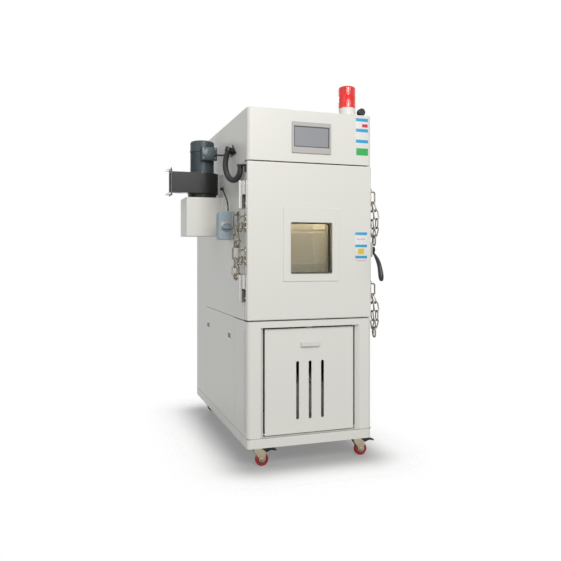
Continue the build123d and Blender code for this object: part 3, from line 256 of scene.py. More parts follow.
def edge_group():
    """Mask of rubbed edges: where the bevelled normal leaves the plain one, broken up by noise."""
    tree, given, result = shader_group("rubbed_edges", [
        ("Vector", "NodeSocketVector", None), ("Width", "NodeSocketFloat", 0.001),
        ("Amount", "NodeSocketFloat", 1.0),
    ], [("Mask", "NodeSocketFloat")])
    bevel = tree.nodes.new("ShaderNodeBevel")
    bevel.samples = 4
    tree.links.new(given.outputs["Width"], bevel.inputs["Radius"])
    plain = tree.nodes.new("ShaderNodeNewGeometry")
    dot = tree.nodes.new("ShaderNodeVectorMath")
    dot.operation = "DOT_PRODUCT"
    tree.links.new(bevel.outputs[0], dot.inputs[0])
    tree.links.new(plain.outputs["Normal"], dot.inputs[1])
    noise = tree.nodes.new("ShaderNodeTexNoise")
    noise.inputs["Scale"].default_value = wear_patch_scale
    tree.links.new(given.outputs["Vector"], noise.inputs["Vector"])
    worn = math_node(tree, "SUBTRACT", 1.0, dot.outputs["Value"])
    worn = math_node(tree, "MULTIPLY", worn, noise.outputs["Fac"])
    worn = math_node(tree, "MULTIPLY", worn, wear_gain)
    worn = math_node(tree, "MULTIPLY", worn, given.outputs["Amount"])
    worn = math_node(tree, "MINIMUM", worn, 1.0)
    tree.links.new(worn, result.inputs["Mask"])
    return tree


def dust_group():
    """Mask of settled dust: faces that look up, broken by cloudy noise."""
    tree, given, result = shader_group("settled_dust", [
        ("Vector", "NodeSocketVector", None), ("Amount", "NodeSocketFloat", 0.2),
    ], [("Mask", "NodeSocketFloat")])
    plain = tree.nodes.new("ShaderNodeNewGeometry")
    split = tree.nodes.new("ShaderNodeSeparateXYZ")
    tree.links.new(plain.outputs["Normal"], split.inputs[0])
    noise = tree.nodes.new("ShaderNodeTexNoise")
    noise.inputs["Scale"].default_value = dust_patch_scale
    noise.inputs["Detail"].default_value = 6
    tree.links.new(given.outputs["Vector"], noise.inputs["Vector"])
    upward = math_node(tree, "MAXIMUM", split.outputs["Z"], 0.0)
    mask = math_node(tree, "MULTIPLY", upward, noise.outputs["Fac"])
    mask = math_node(tree, "MULTIPLY", mask, given.outputs["Amount"])
    tree.links.new(mask, result.inputs["Mask"])
    return tree


dust_colour = (0.42, 0.40, 0.37)
groups = {"grain": grain_group(), "edges": edge_group(), "dust": dust_group()}


def mix_colour(tree, factor, first, second):
    """Colour between two colours, by a mask."""
    node = tree.nodes.new("ShaderNodeMix")
    node.data_type = "RGBA"
    tree.links.new(factor, node.inputs["Factor"])
    for socket, value in ((node.inputs["A"], first), (node.inputs["B"], second)):
        if isinstance(value, tuple):
            socket.default_value = (*value, 1)
        else:
            tree.links.new(value, socket)
    return node.outputs["Result"]


def mapped(tree, value, low_value, high_value):
    """Value of 0 to 1 spread over a range."""
    node = tree.nodes.new("ShaderNodeMapRange")
    tree.links.new(value, node.inputs["Value"])
    node.inputs["To Min"].default_value = low_value
    node.inputs["To Max"].default_value = high_value
    return node.outputs["Result"]


def finish(name, colour, roughness, metallic=0.0, shade=0.93, fine=900.0, broad=4.0, stretch=(1, 1, 1),
           bump=0.08, bump_depth=0.0002, spread=0.06, worn=None, wear=0.6, edge=0.0012, dusty=0.0, **plain):
    """Surface finish: cloudy tone between the colour and its shade, grain in roughness and bump,
    rubbed edges of the worn colour and dust on top. Other sockets of the shader are given by name."""
    made = bpy.data.materials.new(name)
    made.use_nodes = True
    tree = made.node_tree
    shader = tree.nodes["Principled BSDF"]
    shader.inputs["Metallic"].default_value = metallic
    for label, value in plain.items():
        shader.inputs[label.replace("_", " ")].default_value = value
    place = tree.nodes.new("ShaderNodeTexCoord")
    grain = tree.nodes.new("ShaderNodeGroup")
    grain.node_tree = groups["grain"]
    grain.inputs["Stretch"].default_value = stretch
    grain.inputs["Fine"].default_value = fine
    grain.inputs["Broad"].default_value = broad
    tree.links.new(place.outputs["Object"], grain.inputs["Vector"])
    darker = tuple(part * shade for part in colour)
    tone = mix_colour(tree, grain.outputs["Cloud"], darker, colour)
    if worn is not None:
        edges = tree.nodes.new("ShaderNodeGroup")
        edges.node_tree = groups["edges"]
        edges.inputs["Amount"].default_value = wear
        edges.inputs["Width"].default_value = edge
        tree.links.new(place.outputs["Object"], edges.inputs["Vector"])
        tone = mix_colour(tree, edges.outputs["Mask"], tone, worn)
    if dusty:
        dust = tree.nodes.new("ShaderNodeGroup")
        dust.node_tree = groups["dust"]
        dust.inputs["Amount"].default_value = dusty
        tree.links.new(place.outputs["Object"], dust.inputs["Vector"])
        tone = mix_colour(tree, dust.outputs["Mask"], tone, dust_colour)
    tree.links.new(tone, shader.inputs["Base Color"])
    gloss = mapped(tree, grain.outputs["Speck"], roughness - spread, roughness + spread)
    tree.links.new(gloss, shader.inputs["Roughness"])
    relief = tree.nodes.new("ShaderNodeBump")
    relief.inputs["Strength"].default_value = bump
    relief.inputs["Distance"].default_value = bump_depth
    tree.links.new(grain.outputs["Height"], relief.inputs["Height"])
    tree.links.new(relief.outputs["Normal"], shader.inputs["Normal"])
    return made


finishes = {
    "cabinet_paint": finish("cabinet_paint", (0.745, 0.735, 0.690), 0.36, shade=0.965, fine=1400.0,
                            broad=1.6, bump=0.10, worn=(0.80, 0.79, 0.75), wear=0.25, Coat_Weight=0.12,
                            Coat_Roughness=0.25),
    "stainless": finish("stainless", (0.62, 0.60, 0.56), 0.32, 1.0, shade=0.86, fine=260.0, broad=7.0,
                        stretch=(1, 1, 26), bump=0.12, spread=0.10),
    "chain_steel": finish("chain_steel", (0.46, 0.415, 0.35), 0.30, 1.0, shade=0.55, fine=420.0, broad=60.0,
                          bump=0.14, worn=(0.75, 0.73, 0.70), wear=0.8),
    "chrome_plate": finish("chrome_plate", (0.70, 0.69, 0.67), 0.20, 1.0, shade=0.90, fine=300.0,
                           broad=14.0, stretch=(1, 1, 12), bump=0.06),
    "handle_black": finish("handle_black", (0.016, 0.016, 0.018), 0.38, shade=0.7, fine=700.0, bump=0.05,
                           worn=(0.05, 0.05, 0.05), Coat_Weight=0.15, Coat_Roughness=0.12),
    "foam": finish("foam", (0.72, 0.62, 0.38), 0.9, shade=0.8, fine=300.0, broad=40.0, bump=0.5,
                   bump_depth=0.001),
    "fins": finish("fins", (0.66, 0.67, 0.68), 0.38, 1.0, shade=0.85, fine=240.0, stretch=(1, 1, 10),
                   worn=(0.85, 0.85, 0.85)),
    "black_paint": finish("black_paint", (0.018, 0.018, 0.019), 0.30, shade=0.6, fine=900.0, broad=9.0,
                          bump=0.10, worn=(0.10, 0.10, 0.10), wear=0.5, dusty=0.10, Coat_Weight=0.15,
                          Coat_Roughness=0.12, Specular_IOR_Level=0.38),
    "motor_paint": finish("motor_paint", (0.050, 0.074, 0.086), 0.42, shade=0.75, fine=600.0, broad=12.0,
                          bump=0.25, worn=(0.20, 0.25, 0.27), dusty=0.18, Coat_Weight=0.2),
    "screen_plastic": finish("screen_plastic", (0.47, 0.455, 0.435), 0.40, shade=0.96, fine=1600.0,
                             bump=0.08),
    "white_plastic": finish("white_plastic", (0.80, 0.79, 0.77), 0.38, shade=0.95, fine=900.0, bump=0.05),
    "black_plastic": finish("black_plastic", (0.022, 0.022, 0.024), 0.45, shade=0.7, fine=1100.0,
                            bump=0.12, worn=(0.07, 0.07, 0.07), dusty=0.12),
    "zinc": finish("zinc", (0.60, 0.60, 0.60), 0.36, 1.0, shade=0.82, fine=380.0, broad=50.0,
                   worn=(0.82, 0.82, 0.82)),
    "switch_paint": finish("switch_paint", (0.33, 0.42, 0.48), 0.40, shade=0.93, fine=1200.0, bump=0.10,
                           worn=(0.50, 0.56, 0.60), dusty=0.10),
    "knob_plastic": finish("knob_plastic", (0.26, 0.33, 0.37), 0.38, shade=0.85, fine=900.0, bump=0.08,
                           worn=(0.42, 0.47, 0.50)),
    "cable_rubber": finish("cable_rubber", (0.011, 0.011, 0.013), 0.42, shade=0.75, fine=1500.0, bump=0.12,
                           Specular_IOR_Level=0.32),
    "gasket_rubber": finish("gasket_rubber", (0.025, 0.025, 0.026), 0.62, shade=0.75, fine=800.0, bump=0.2),
    "yellow_zinc": finish("yellow_zinc", (0.66, 0.58, 0.40), 0.34, 1.0, shade=0.78, fine=360.0, broad=45.0,
                          worn=(0.85, 0.82, 0.75)),
    "red_tread": finish("red_tread", (0.42, 0.020, 0.028), 0.40, shade=0.80, fine=500.0, broad=30.0,
                        bump=0.15, dusty=0.15, Coat_Weight=0.15),
    "pull_plastic": finish("pull_plastic", (0.70, 0.69, 0.66), 0.42, shade=0.95, fine=1100.0, bump=0.06),
    "hub_silver": finish("hub_silver", (0.66, 0.65, 0.62), 0.34, 1.0, shade=0.85, fine=300.0, bump=0.1),
    # painted shade: near-black for the shaded insides of holes and seams
    "painted_shade_dark": finish("painted_shade_dark", (0.020, 0.019, 0.018), 0.8, shade=0.7, fine=400.0),
}


def clear_finish(name, colour, roughness, clearness, **plain):
    """Clear or tinted finish: fine waviness in its normal and a faint cloudy tint."""
    return finish(name, colour, roughness, shade=0.94, fine=60.0, broad=18.0, bump=0.02, spread=0.015,
                  Transmission_Weight=clearness, IOR=1.45, **plain)


finishes["window_glass"] = clear_finish("window_glass", (0.90, 0.92, 0.87), 0.02, 1.0)
# painted glow: the red lens gives a faint red emission of its own
finishes["red_lens"] = clear_finish("red_lens", (0.78, 0.012, 0.012), 0.12, 0.40, Coat_Weight=0.7,
                                    Coat_Roughness=0.12, Emission_Color=(1.0, 0.03, 0.02, 1),
                                    Emission_Strength=0.10)
# painted highlight: the bulb inside the lens glows to give the lens a bright middle band
finishes["lens_core_painted_glow"] = finish("lens_core_painted_glow", (0.95, 0.75, 0.68), 0.4, shade=0.9, fine=200.0,
                               Emission_Color=(1.0, 0.42, 0.34, 1), Emission_Strength=1.1)


def object_axes(tree):
    """Separate X, Y and Z of the object coordinates."""
    split = tree.nodes.new("ShaderNodeSeparateXYZ")
    place = tree.nodes.new("ShaderNodeTexCoord")
    tree.links.new(place.outputs["Object"], split.inputs[0])
    return split.outputs


screen_rim = 0.0055


def screen_finish():
    """Switched-off display under glass: grey, with a dark rim where a box distance passes the rim's width."""
    made = finish("screen_glass", (0.275, 0.28, 0.30), 0.45, shade=0.90, fine=1600.0, broad=3.0, bump=0.01,
                  spread=0.05, Coat_Weight=0.25, Coat_Roughness=0.25)
    tree = made.node_tree
    shader = tree.nodes["Principled BSDF"]
    old = shader.inputs["Base Color"].links[0].from_socket
    low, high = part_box("touch_screen")
    middle = (low + high) / 2
    half = (high - low) / 2
    place = object_axes(tree)
    edges = []
    for label, centre, reach in (("X", middle.x, half.x), ("Z", middle.z, half.z)):
        away = math_node(tree, "ABSOLUTE", math_node(tree, "SUBTRACT", place[label], centre))
        edges.append(math_node(tree, "GREATER_THAN", away, reach - screen_rim))
    rim = math_node(tree, "MAXIMUM", edges[0], edges[1])
    tree.links.new(mix_colour(tree, rim, old, (0.085, 0.09, 0.10)), shader.inputs["Base Color"])
    return made


finishes["screen_glass"] = screen_finish()


def strip_finish(name, fields):
    """Blank label strip with plain fields of colour.

    Each field is (bottom, top, left, right, colour) in metres: its heights, and its sides from the cabinet's
    middle.
    """
    made = finish(name, (0.765, 0.76, 0.735), 0.34, shade=0.97, fine=900.0, bump=0.03, Coat_Weight=0.3)
    tree = made.node_tree
    shader = tree.nodes["Principled BSDF"]
    place = object_axes(tree)
    tone = shader.inputs["Base Color"].links[0].from_socket
    for bottom, top, left, right, colour in fields:
        above = math_node(tree, "GREATER_THAN", place["Z"], bottom)
        below = math_node(tree, "LESS_THAN", place["Z"], top)
        beyond = math_node(tree, "GREATER_THAN", place["X"], cabinet_middle_x + left)
        before = math_node(tree, "LESS_THAN", place["X"], cabinet_middle_x + right)
        inside = math_node(tree, "MULTIPLY", math_node(tree, "MULTIPLY", above, below),
                           math_node(tree, "MULTIPLY", beyond, before))
        tone = mix_colour(tree, inside, tone, colour)
    tree.links.new(tone, shader.inputs["Base Color"])
    return made


blue = (0.03, 0.34, 0.62)
red = (0.62, 0.03, 0.06)
green = (0.03, 0.44, 0.09)
yellow = (0.70, 0.52, 0.04)
rose = (0.72, 0.35, 0.36)
pale_rose = (0.72, 0.45, 0.45)
finishes["head_strip"] = strip_finish("head_strip", [
    (1.668, 1.684, -1, 1, blue), (1.640, 1.656, 0.268, 0.299, red), (1.616, 1.632, -1, 1, blue),
    (1.562, 1.578, -1, 1, blue), (1.501, 1.536, 0.237, 0.301, green),
])
finishes["door_strip"] = strip_finish("door_strip", [
    (1.106, 1.120, -1, 1, blue), (1.046, 1.059, -1, 1, blue), (0.991, 1.004, -1, 1, blue),
    (1.012, 1.040, 0.246, 0.279, yellow), (1.084, 1.089, 0.240, 0.285, rose),
    (0.979, 0.983, 0.238, 0.288, pale_rose),
])

for node in frame["nodes"].values():
    for index, material in enumerate(node.data.materials):
        node.data.materials[index] = finishes[material.name]


# Cords: the routes of the conduit and the two cables, in cabinet metres

def route_curve(name, route, radius):
    """Smooth curve with the route's points as its control points, as thick as given."""
    data = bpy.data.curves.new(name, "CURVE")
    data.dimensions = "3D"
    data.resolution_u = 16
    data.bevel_depth = radius
    data.bevel_resolution = 6
    data.use_fill_caps = radius > 0
    spline = data.splines.new("NURBS")
    spline.points.add(len(route) - 1)
    spline.points.foreach_set("co", np.c_[at(route), np.ones(len(route))].ravel())
    spline.order_u = 3
    spline.use_endpoint_u = True
    made = bpy.data.objects.new(name, data)
    bpy.context.scene.collection.objects.link(made)
    return made


def cable(name, node, route, radius):
    """Round rubber cable along its route."""
    made = route_curve(name, route, radius)
    made.data.materials.append(finishes["cable_rubber"])
    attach(made, frame["nodes"][node]["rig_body"])
    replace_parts(made, node)


motor_cable_route = [
    (-0.362, 0.4935, 1.545), (-0.362, 0.4755, 1.545), (-0.358, 0.4455, 1.540), (-0.350, 0.4055, 1.532),
    (-0.342, 0.3655, 1.528), (-0.335, 0.3335, 1.527), (-0.3305, 0.3095, 1.528), (-0.3305, 0.2955, 1.528),
]
switch_cable_route = [
    (-0.331, 0.478, 1.365), (-0.331, 0.462, 1.365), (-0.335, 0.433, 1.357), (-0.339, 0.396, 1.340),
    (-0.341, 0.360, 1.319), (-0.341, 0.330, 1.300), (-0.341, 0.310, 1.283), (-0.341, 0.297, 1.264),
    (-0.341, 0.293, 1.246), (-0.341, 0.293, 1.233),
]
conduit_route = [
    (-0.350, 0.262, 1.530), (-0.355, 0.261, 1.513), (-0.361, 0.258, 1.491), (-0.366, 0.250, 1.465),
    (-0.368, 0.235, 1.436), (-0.366, 0.213, 1.408), (-0.362, 0.186, 1.387), (-0.357, 0.156, 1.374),
    (-0.351, 0.126, 1.369), (-0.345, 0.098, 1.373), (-0.3415, 0.076, 1.382), (-0.340, 0.060, 1.395),
    (-0.340, 0.051, 1.412), (-0.340, 0.051, 1.427),
]
cable("motor_lead", "motor_cable", motor_cable_route, 0.0045)
cable("switch_lead", "switch_cable", switch_cable_route, 0.0035)


def curve_points(route):
    """Points of the smooth curve through a route, from Blender's own evaluation of it, in cabinet metres."""
    made = route_curve("line", route, 0)
    mesh = bpy.data.meshes.new_from_object(made.evaluated_get(bpy.context.evaluated_depsgraph_get()))
    points = np.empty(len(mesh.vertices) * 3)
    mesh.vertices.foreach_get("co", points)
    bpy.data.objects.remove(made)
    bpy.data.meshes.remove(mesh)
    return points.reshape(-1, 3) - at((0, 0, 0))


rib_pitch = 0.0062
rib_middle_radius = 0.0131
rib_height = 0.0009
rib_squareness = 2.2


def corrugated_conduit():
    """Ribbed hose: a circle carried along the conduit's line.

    Its radius is the middle radius plus the rib's height times tanh(squareness times the cosine of the length).
    The line is smoothed by a running mean over 13 of its 440 points, apart from its ends.
    """
    line = curve_points(conduit_route)
    length = np.concatenate([[0], np.cumsum(np.linalg.norm(np.diff(line, axis=0), axis=1))])
    along = np.linspace(0, length[-1], 440)
    path = np.stack([np.interp(along, length, line[:, i]) for i in range(3)], axis=-1)
    smooth = np.stack([np.convolve(np.pad(path[:, i], 6, mode="edge"), np.ones(13) / 13, "valid")
                       for i in range(3)], axis=-1)
    path[8:-8] = smooth[8:-8]
    ahead = np.gradient(path, axis=0)
    ahead /= np.linalg.norm(ahead, axis=1)[:, None]
    out = np.cross(ahead, np.array([1.0, 0, 0]))
    out /= np.linalg.norm(out, axis=1)[:, None]
    up = np.cross(out, ahead)
    ribs = np.tanh(rib_squareness * np.cos(along * 2 * math.pi / rib_pitch))
    radius = rib_middle_radius + rib_height * ribs
    angle = np.arange(32) * math.pi / 16
    ring = np.cos(angle)[None, :, None] * out[:, None] + np.sin(angle)[None, :, None] * up[:, None]
    made = piece("ribbed_conduit", lofted(path[:, None] + ring * radius[:, None, None]), "door_conduit",
                 "black_plastic", 60)
    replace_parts(made, "door_conduit")


corrugated_conduit()


# Chains

def welded_link(length, width, wire):
    """Link about the origin, long in z: a circle carried round two half circles and two straights."""
    turn = (np.arange(48) + 0.5) * math.pi / 24
    still = np.zeros_like(turn)
    bend = (width - wire) / 2
    straight = (length - width) / 2
    out = np.stack([np.cos(turn), still, np.sin(turn)], axis=-1)
    middle = out * bend + np.stack([still, still, np.sign(np.sin(turn)) * straight], axis=-1)
    angle = np.arange(14) * math.pi / 7
    flat = np.array([0, 1.0, 0])
    return middle[:, None] + (np.cos(angle)[None, :, None] * out[:, None]
                              + np.sin(angle)[None, :, None] * flat) * wire / 2


link_length = 0.057
link_width = 0.030
link_wire = 0.0065
link_gap = 0.0003


def chain(start, headings):
    """Links laid end to end along the headings, each turned a quarter from the last.

    Where two links meet, each reaches past the joint by half a wire and gap, over cos(half the bend) cubed.
    """
    reach = (link_length - link_wire) / 2
    along = np.array(headings, float)
    along /= np.linalg.norm(along, axis=1)[:, None]
    bends = [math.acos(min(1, one @ other)) for one, other in zip(along, along[1:])]
    meetings = [(link_wire + link_gap) / 2 / math.cos(bend / 2) ** 3 for bend in bends]
    crossings = [link_wire / 2, *meetings, link_wire / 2]
    link = welded_link(link_length, link_width, link_wire)
    joint = np.array(start)
    links = []
    for index, heading in enumerate(along):
        middle = joint + heading * (reach - crossings[index])
        level = np.cross(heading, (1, 0, 0))
        level /= np.linalg.norm(level)
        wide = np.cross(heading, level) if index % 2 else level
        turned_link = link @ np.stack([wide, np.cross(heading, wide), heading])
        links.append(lofted(turned_link + middle, closed=True))
        joint = middle + heading * (reach - crossings[index + 1])
    return links


def hinge_side_chains():
    """Two slack chains of six links from the cabinet's eyes up to the bars on the hinge line."""
    headings = [(-3, -1.5, -42), (-4, -15, -39), (-1.5, -39.5, -14.5), (1.5, -34, 25),
                (3, -4.4, 42), (2, -21.1, 36.6)]
    lower = chain((-0.338, 0.160, 0.9922), headings)
    upper = chain((-0.338, 0.160, 1.1502), headings)
    return piece("hinge_side_chains", together(lower + upper), "left_chains", "chain_steel")


def free_side_chains():
    """Two chains of two strands each, joined below by a screw link with its long nut."""
    front = [(8, -14, -39), (5, -6, -41.5), (0, 3.5, -42), (-6, 10, -40.6)]
    rear = [(4, 7.5, -41.3), (5, 4, -41.7), (3, -4, -41.8), (3, -4.4, -41.7)]
    quarter_turn = np.array([[0, 1, 0], [-1, 0, 0], [0, 0, 1.0]])
    screw_link = welded_link(0.058, 0.034, 0.008) @ quarter_turn
    nut = [(0.0048, -0.010), (0.0062, -0.0092), (0.0062, 0.0092), (0.0048, 0.010)]
    links = []
    for top in (0.8105, 1.2705):
        links += chain((0.3385, 0.024, top), front) + chain((0.331, 0.024, top), rear)
        middle = np.array([0.346, 0.0215, top - 0.1888])
        links.append(lofted(screw_link + middle, closed=True))
        links.append(turned(nut, "z", middle + (0, 0.013, 0), 6))
    return piece("free_side_chains", together(links), "right_chains", "chain_steel")


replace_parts(hinge_side_chains(), "left_chains")
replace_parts(free_side_chains(), "right_chains")


# Beacon

beacon_x = 0.213
beacon_y = 0.058
flute_count = 36
flute_depth = 0.00022


def fluted_lens():
    """Lens with a wall: circles from inside the dome out and over it.

    A row of the profile is (radius, height, ripple). The radius grows by ripple times the flute's depth times
    cos(number of flutes times the angle).
    """
    angle = np.arange(288) * 2 * math.pi / 288
    profile = np.array([
        (0.004, 0.1030, 0), (0.030, 0.1005, 0), (0.0385, 0.0950, 0), (0.0398, 0.0900, 0), (0.0398, 0.0600, 0),
        (0.0398, 0.0050, 0), (0.0398, 0.0004, 0), (0.0425, 0.0, 0), (0.0428, 0.0030, 0), (0.0420, 0.0055, 1),
        (0.0420, 0.0560, 1), (0.0424, 0.0570, 0), (0.0424, 0.0590, 0), (0.0420, 0.0600, 1),
        (0.0420, 0.0950, 1), (0.0418, 0.0985, 0.6), (0.0395, 0.1030, 0.1), (0.0330, 0.1060, 0),
        (0.0200, 0.1075, 0), (0.004, 0.1080, 0),
    ])
    radius = profile[:, :1] + profile[:, 2:] * flute_depth * np.cos(flute_count * angle)[None, :]
    rings = np.stack([radius * np.cos(angle), radius * np.sin(angle),
                      np.broadcast_to(profile[:, 1:2], radius.shape)], axis=-1)
    return lofted(rings + np.array([beacon_x, beacon_y, 1.742]))


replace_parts(piece("fluted_lens", fluted_lens(), "beacon_lens", "red_lens", 50), "beacon_lens")
# painted highlight: glowing bulb shape inside the lens, lighting a bright band on it
bulb_glow_profile = [(0.004, 0.0), (0.017, 0.0), (0.0175, 0.004), (0.0175, 0.062), (0.015, 0.072), (0.008, 0.078),
        (0.002, 0.079)]
piece("beacon_lamp", turned(bulb_glow_profile, "z", (beacon_x, beacon_y, 1.7425), 32), "beacon_base", "lens_core_painted_glow")
foot = [(0.0430, 0.0), (0.0462, 0.0006), (0.0462, 0.0022), (0.0430, 0.0028)]
piece("beacon_foot", turned(foot, "z", (beacon_x, beacon_y, 1.7001), 48), "beacon_base", "gasket_rubber")
gland_rib = [(0.01804, 0.0), (0.01892, 0.001), (0.01892, 0.004), (0.01804, 0.005)]
gland_rib_places = [(0.287, y, 1.726) for y in (0.038, 0.047, 0.056)]
piece("gland_ribs", many(gland_rib, "y", gland_rib_places, 32), "cable_glands", "black_plastic")


# Blower and motor

blower_x = -0.415
blower_y = 0.594
scroll_start_radius = 0.076
scroll_end_radius = 0.091
outlet_reach = 0.180


def scroll_line(level, grow=0.0):
    """Scroll of the housing at a level: the radius grows evenly with the angle, then a straight outlet wall."""
    share = np.linspace(0.04, 1, 96)
    angle = np.radians(212 - 302 * share)
    radius = scroll_start_radius + (scroll_end_radius - scroll_start_radius) * share + grow
    curve = np.stack([radius * np.cos(angle), radius * np.sin(angle)], axis=-1)
    run = np.linspace(0, -outlet_reach, 24)[1:]
    straight = np.stack([run, np.full_like(run, -scroll_end_radius - grow)], axis=-1)
    line = np.concatenate([curve, straight])
    return np.c_[line, np.zeros(len(line))] + np.array([blower_x, blower_y, level])


def scroll_rims():
    """Folded rims of the scroll: a small rectangle carried along the scroll's line at its two faces."""
    section = np.array([(-0.0015, -0.0012), (-0.0015, 0.0012), (0.0040, 0.0012), (0.0046, 0.0006),
                        (0.0046, -0.0006), (0.0040, -0.0012)])
    return together([lofted(carried(section, scroll_line(level), (0, 0, 1))) for level in (1.3432, 1.4508)])


piece("scroll_rims", scroll_rims(), "blower_housing", "black_paint")


def rim_bolts():
    """Small bolt heads round the rims, spaced evenly along the scroll's line."""
    head = [(0.002, 0.0022), (0.0034, 0.0022), (0.0040, 0.0016), (0.0040, -0.0002)]
    return many(head, "z", scroll_line(1.452, 0.0012)[6::13], 6)


piece("rim_bolts", rim_bolts(), "blower_housing", "zinc")


def motor_ribs():
    """Upright cooling ribs: one section of (out, across) pairs, turned round the motor in equal steps."""
    section = np.array([(0.0595, -0.0013), (0.0645, -0.0008), (0.0645, 0.0008), (0.0595, 0.0013)])
    levels = np.array([1.4600, 1.4620, 1.5680, 1.5715])
    ribs = []
    for angle in np.radians(np.arange(-62, 243, 9.5)):
        out = np.array([math.cos(angle), math.sin(angle), 0])
        across = np.array([-math.sin(angle), math.cos(angle), 0])
        flat = section[:, :1] * out + section[:, 1:] * across + np.array([blower_x, blower_y, 0])
        ribs.append(lofted(flat[None] + levels[:, None, None] * np.array([0, 0, 1])))
    return together(ribs)


def cowl_rings():
    """Raised rings on the cowl's top: one trapezium turned round the motor's axis at four radii."""
    section = np.array([(-0.0018, 0.0), (-0.0012, 0.0012), (0.0012, 0.0012), (0.0018, 0.0)])
    return together([turned(section + (radius, 0), "z", (blower_x, blower_y, 1.6322), 48)
                     for radius in (0.014, 0.024, 0.034, 0.044)])


piece("motor_ribs", motor_ribs(), "blower_motor", "motor_paint", 30)
piece("cowl_rings", cowl_rings(), "blower_motor", "motor_paint")
band = [(0.0655, 0), (0.0672, 0.0008), (0.0672, 0.0042), (0.0655, 0.005)]
piece("cowl_band", turned(band, "z", (blower_x, blower_y, 1.574), 64), "blower_motor", "motor_paint")
terminal_x = -0.393
terminal_z = 1.5555
terminal_lid = plate(width=0.080, height=0.062, radius=0.006, thickness=-0.004, axis="y",
                     centre=(terminal_x, 0.5035, terminal_z))
piece("terminal_lid", terminal_lid, "blower_motor", "motor_paint")
front_screw = [(0.001, -0.0018), (0.0026, -0.0016), (0.0034, -0.0008), (0.0036, 0.0002)]
lid_screw_places = [(terminal_x + x, 0.4995, terminal_z + z) for x in (-0.033, 0.033)
                    for z in (-0.024, 0.024)]
piece("lid_screws", many(front_screw, "y", lid_screw_places), "blower_motor", "zinc")


# Hinges, door and head fittings

leaf_screw_levels = [bottom + rise for bottom in (0.783, 1.228) for rise in (0.022, 0.065, 0.108)]
leaf_screw = [(0.0015, -0.0022), (0.0035, -0.0020), (0.0050, -0.0010), (0.0054, 0.0003)]
for side, rows in (("cabinet", (0.084, 0.116)), ("door", (0.023,))):
    places = [(-0.324, y, z) for y in rows for z in leaf_screw_levels]
    piece(side + "_leaf_screws", many(leaf_screw, "x", places, 20), side + "_hinge_leaves", "zinc")
window_z = 1.041
window_gasket = frame_ring(width=0.208, height=0.241, radius=0.010, bar=0.0045, thickness=0.010, axis="y",
                           centre=(0, 0.033, window_z))
window_trim = frame_ring(width=0.2135, height=0.2465, radius=0.008, bar=0.0024, thickness=0.0030, axis="y",
                         centre=(0, -0.0045, window_z))
screen_trim = frame_ring(width=0.186, height=0.104, radius=0.004, bar=0.0020, thickness=0.0022, axis="y",
                         centre=(0, -0.0030, 1.5745))
head_label = plate(width=0.066, height=0.183, radius=0.002, thickness=-0.0006, axis="y",
                   centre=(0.268, 0.0, 1.5925), ease=0.0002)
door_label = plate(width=0.064, height=0.145, radius=0.002, thickness=-0.0006, axis="y",
                   centre=(0.2635, 0.0, 1.0475), ease=0.0002)
piece("window_gasket", window_gasket, "window_frame", "gasket_rubber")
piece("window_trim", window_trim, "window_frame", "screen_plastic")
piece("screen_trim", screen_trim, "screen_bezel", "screen_plastic")
piece("head_label", head_label, "upper_casing", "head_strip")
piece("door_label", door_label, "door_shell", "door_strip")
# painted shade: thin dark discs on the side where the perforation holes stand
hole = [(0.0002, -0.0001), (0.0019, -0.0001), (0.0020, 0.0003)]
hole_places = [(-0.3201, y, z) for y in (0.040, 0.048) for z in np.linspace(0.180, 0.652, 60)]
piece("side_perforations", many(hole, "x", hole_places, 10), "lower_frame", "painted_shade_dark")
# painted shadow: a thin dark ring where the base meets the lower frame, for the shade in the seam
base_seam = frame_ring(width=0.6390, height=1.2390, radius=0.0105, bar=0.0016, thickness=0.0018, axis="z",
                       centre=(0, 0.620, 0.146))
piece("base_seam", base_seam, "base_frame", "painted_shade_dark")


# Switch box

switch_x = -0.359
switch_screw_places = [(switch_x + x, 0.2485, 1.1555 + z) for x in (-0.030, 0.030) for z in (-0.060, 0.060)]
piece("switch_lid_screws", many(front_screw, "y", switch_screw_places), "switch_box", "zinc")
switch_plate = plate(width=0.056, height=0.056, radius=0.006, thickness=-0.0002, axis="y",
                     centre=(switch_x, 0.2486, 1.147), ease=0.0001)
piece("switch_plate", switch_plate, "switch_box", "screen_plastic")


# Casters

caster_x = 0.260
caster_rows = (0.062, 1.178)
hub = [(0.002, -0.0032), (0.0048, -0.0032), (0.0052, -0.0014), (0.0110, -0.0010), (0.0165, -0.0004),
       (0.0175, 0.0006)]
race = [(0.014, 0), (0.0200, 0.0), (0.0208, 0.0010), (0.0208, 0.0034), (0.0190, 0.0042), (0.014, 0.0042)]


def box_in_cabinet(name):
    """Low and high corners of a CAD node's box, in cabinet metres."""
    return np.array(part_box(name)) - at((0, 0, 0))


for corner in ("front_left", "front_right", "rear_left", "rear_right"):
    low, high = box_in_cabinet(corner + "_wheel")
    x, _, z = (low + high) / 2
    hubs = [turned(hub, "y", (x, low[1], z), 40), turned(upside_down(hub), "y", (x, high[1], z), 40)]
    piece(corner + "_hubs", together(hubs), corner + "_wheel", "hub_silver")
    low, high = box_in_cabinet(corner + "_fork")
    race_centre = (caster_x if "right" in corner else -caster_x, (low[1] + high[1]) / 2, high[2] - 0.001)
    piece(corner + "_race", turned(race, "z", race_centre, 40), corner + "_fork", "zinc")
plate_bolt = [(0.002, -0.0050), (0.0052, -0.0050), (0.0058, -0.0042), (0.0058, 0.0002)]
plate_bolt_places = [(x + across, y + along, 0.097) for x in (-caster_x, caster_x) for y in caster_rows
                     for across in (-0.024, 0.024) for along in (-0.024, 0.024)]
piece("plate_bolts", many(plate_bolt, "z", plate_bolt_places, 6), "caster_plates", "zinc")


# Floor, light and camera

floor_inset = 0.06
# painted shadow: the floor's colour is darkened close to the chamber's footprint
painted_floor_shadow = {"From Min": 0.0, "From Max": 0.28, "To Min": 0.26, "To Max": 0.86}
floor_clearing = {"From Min": 0.06, "From Max": 0.46, "To Min": 0.0, "To Max": 1.0}


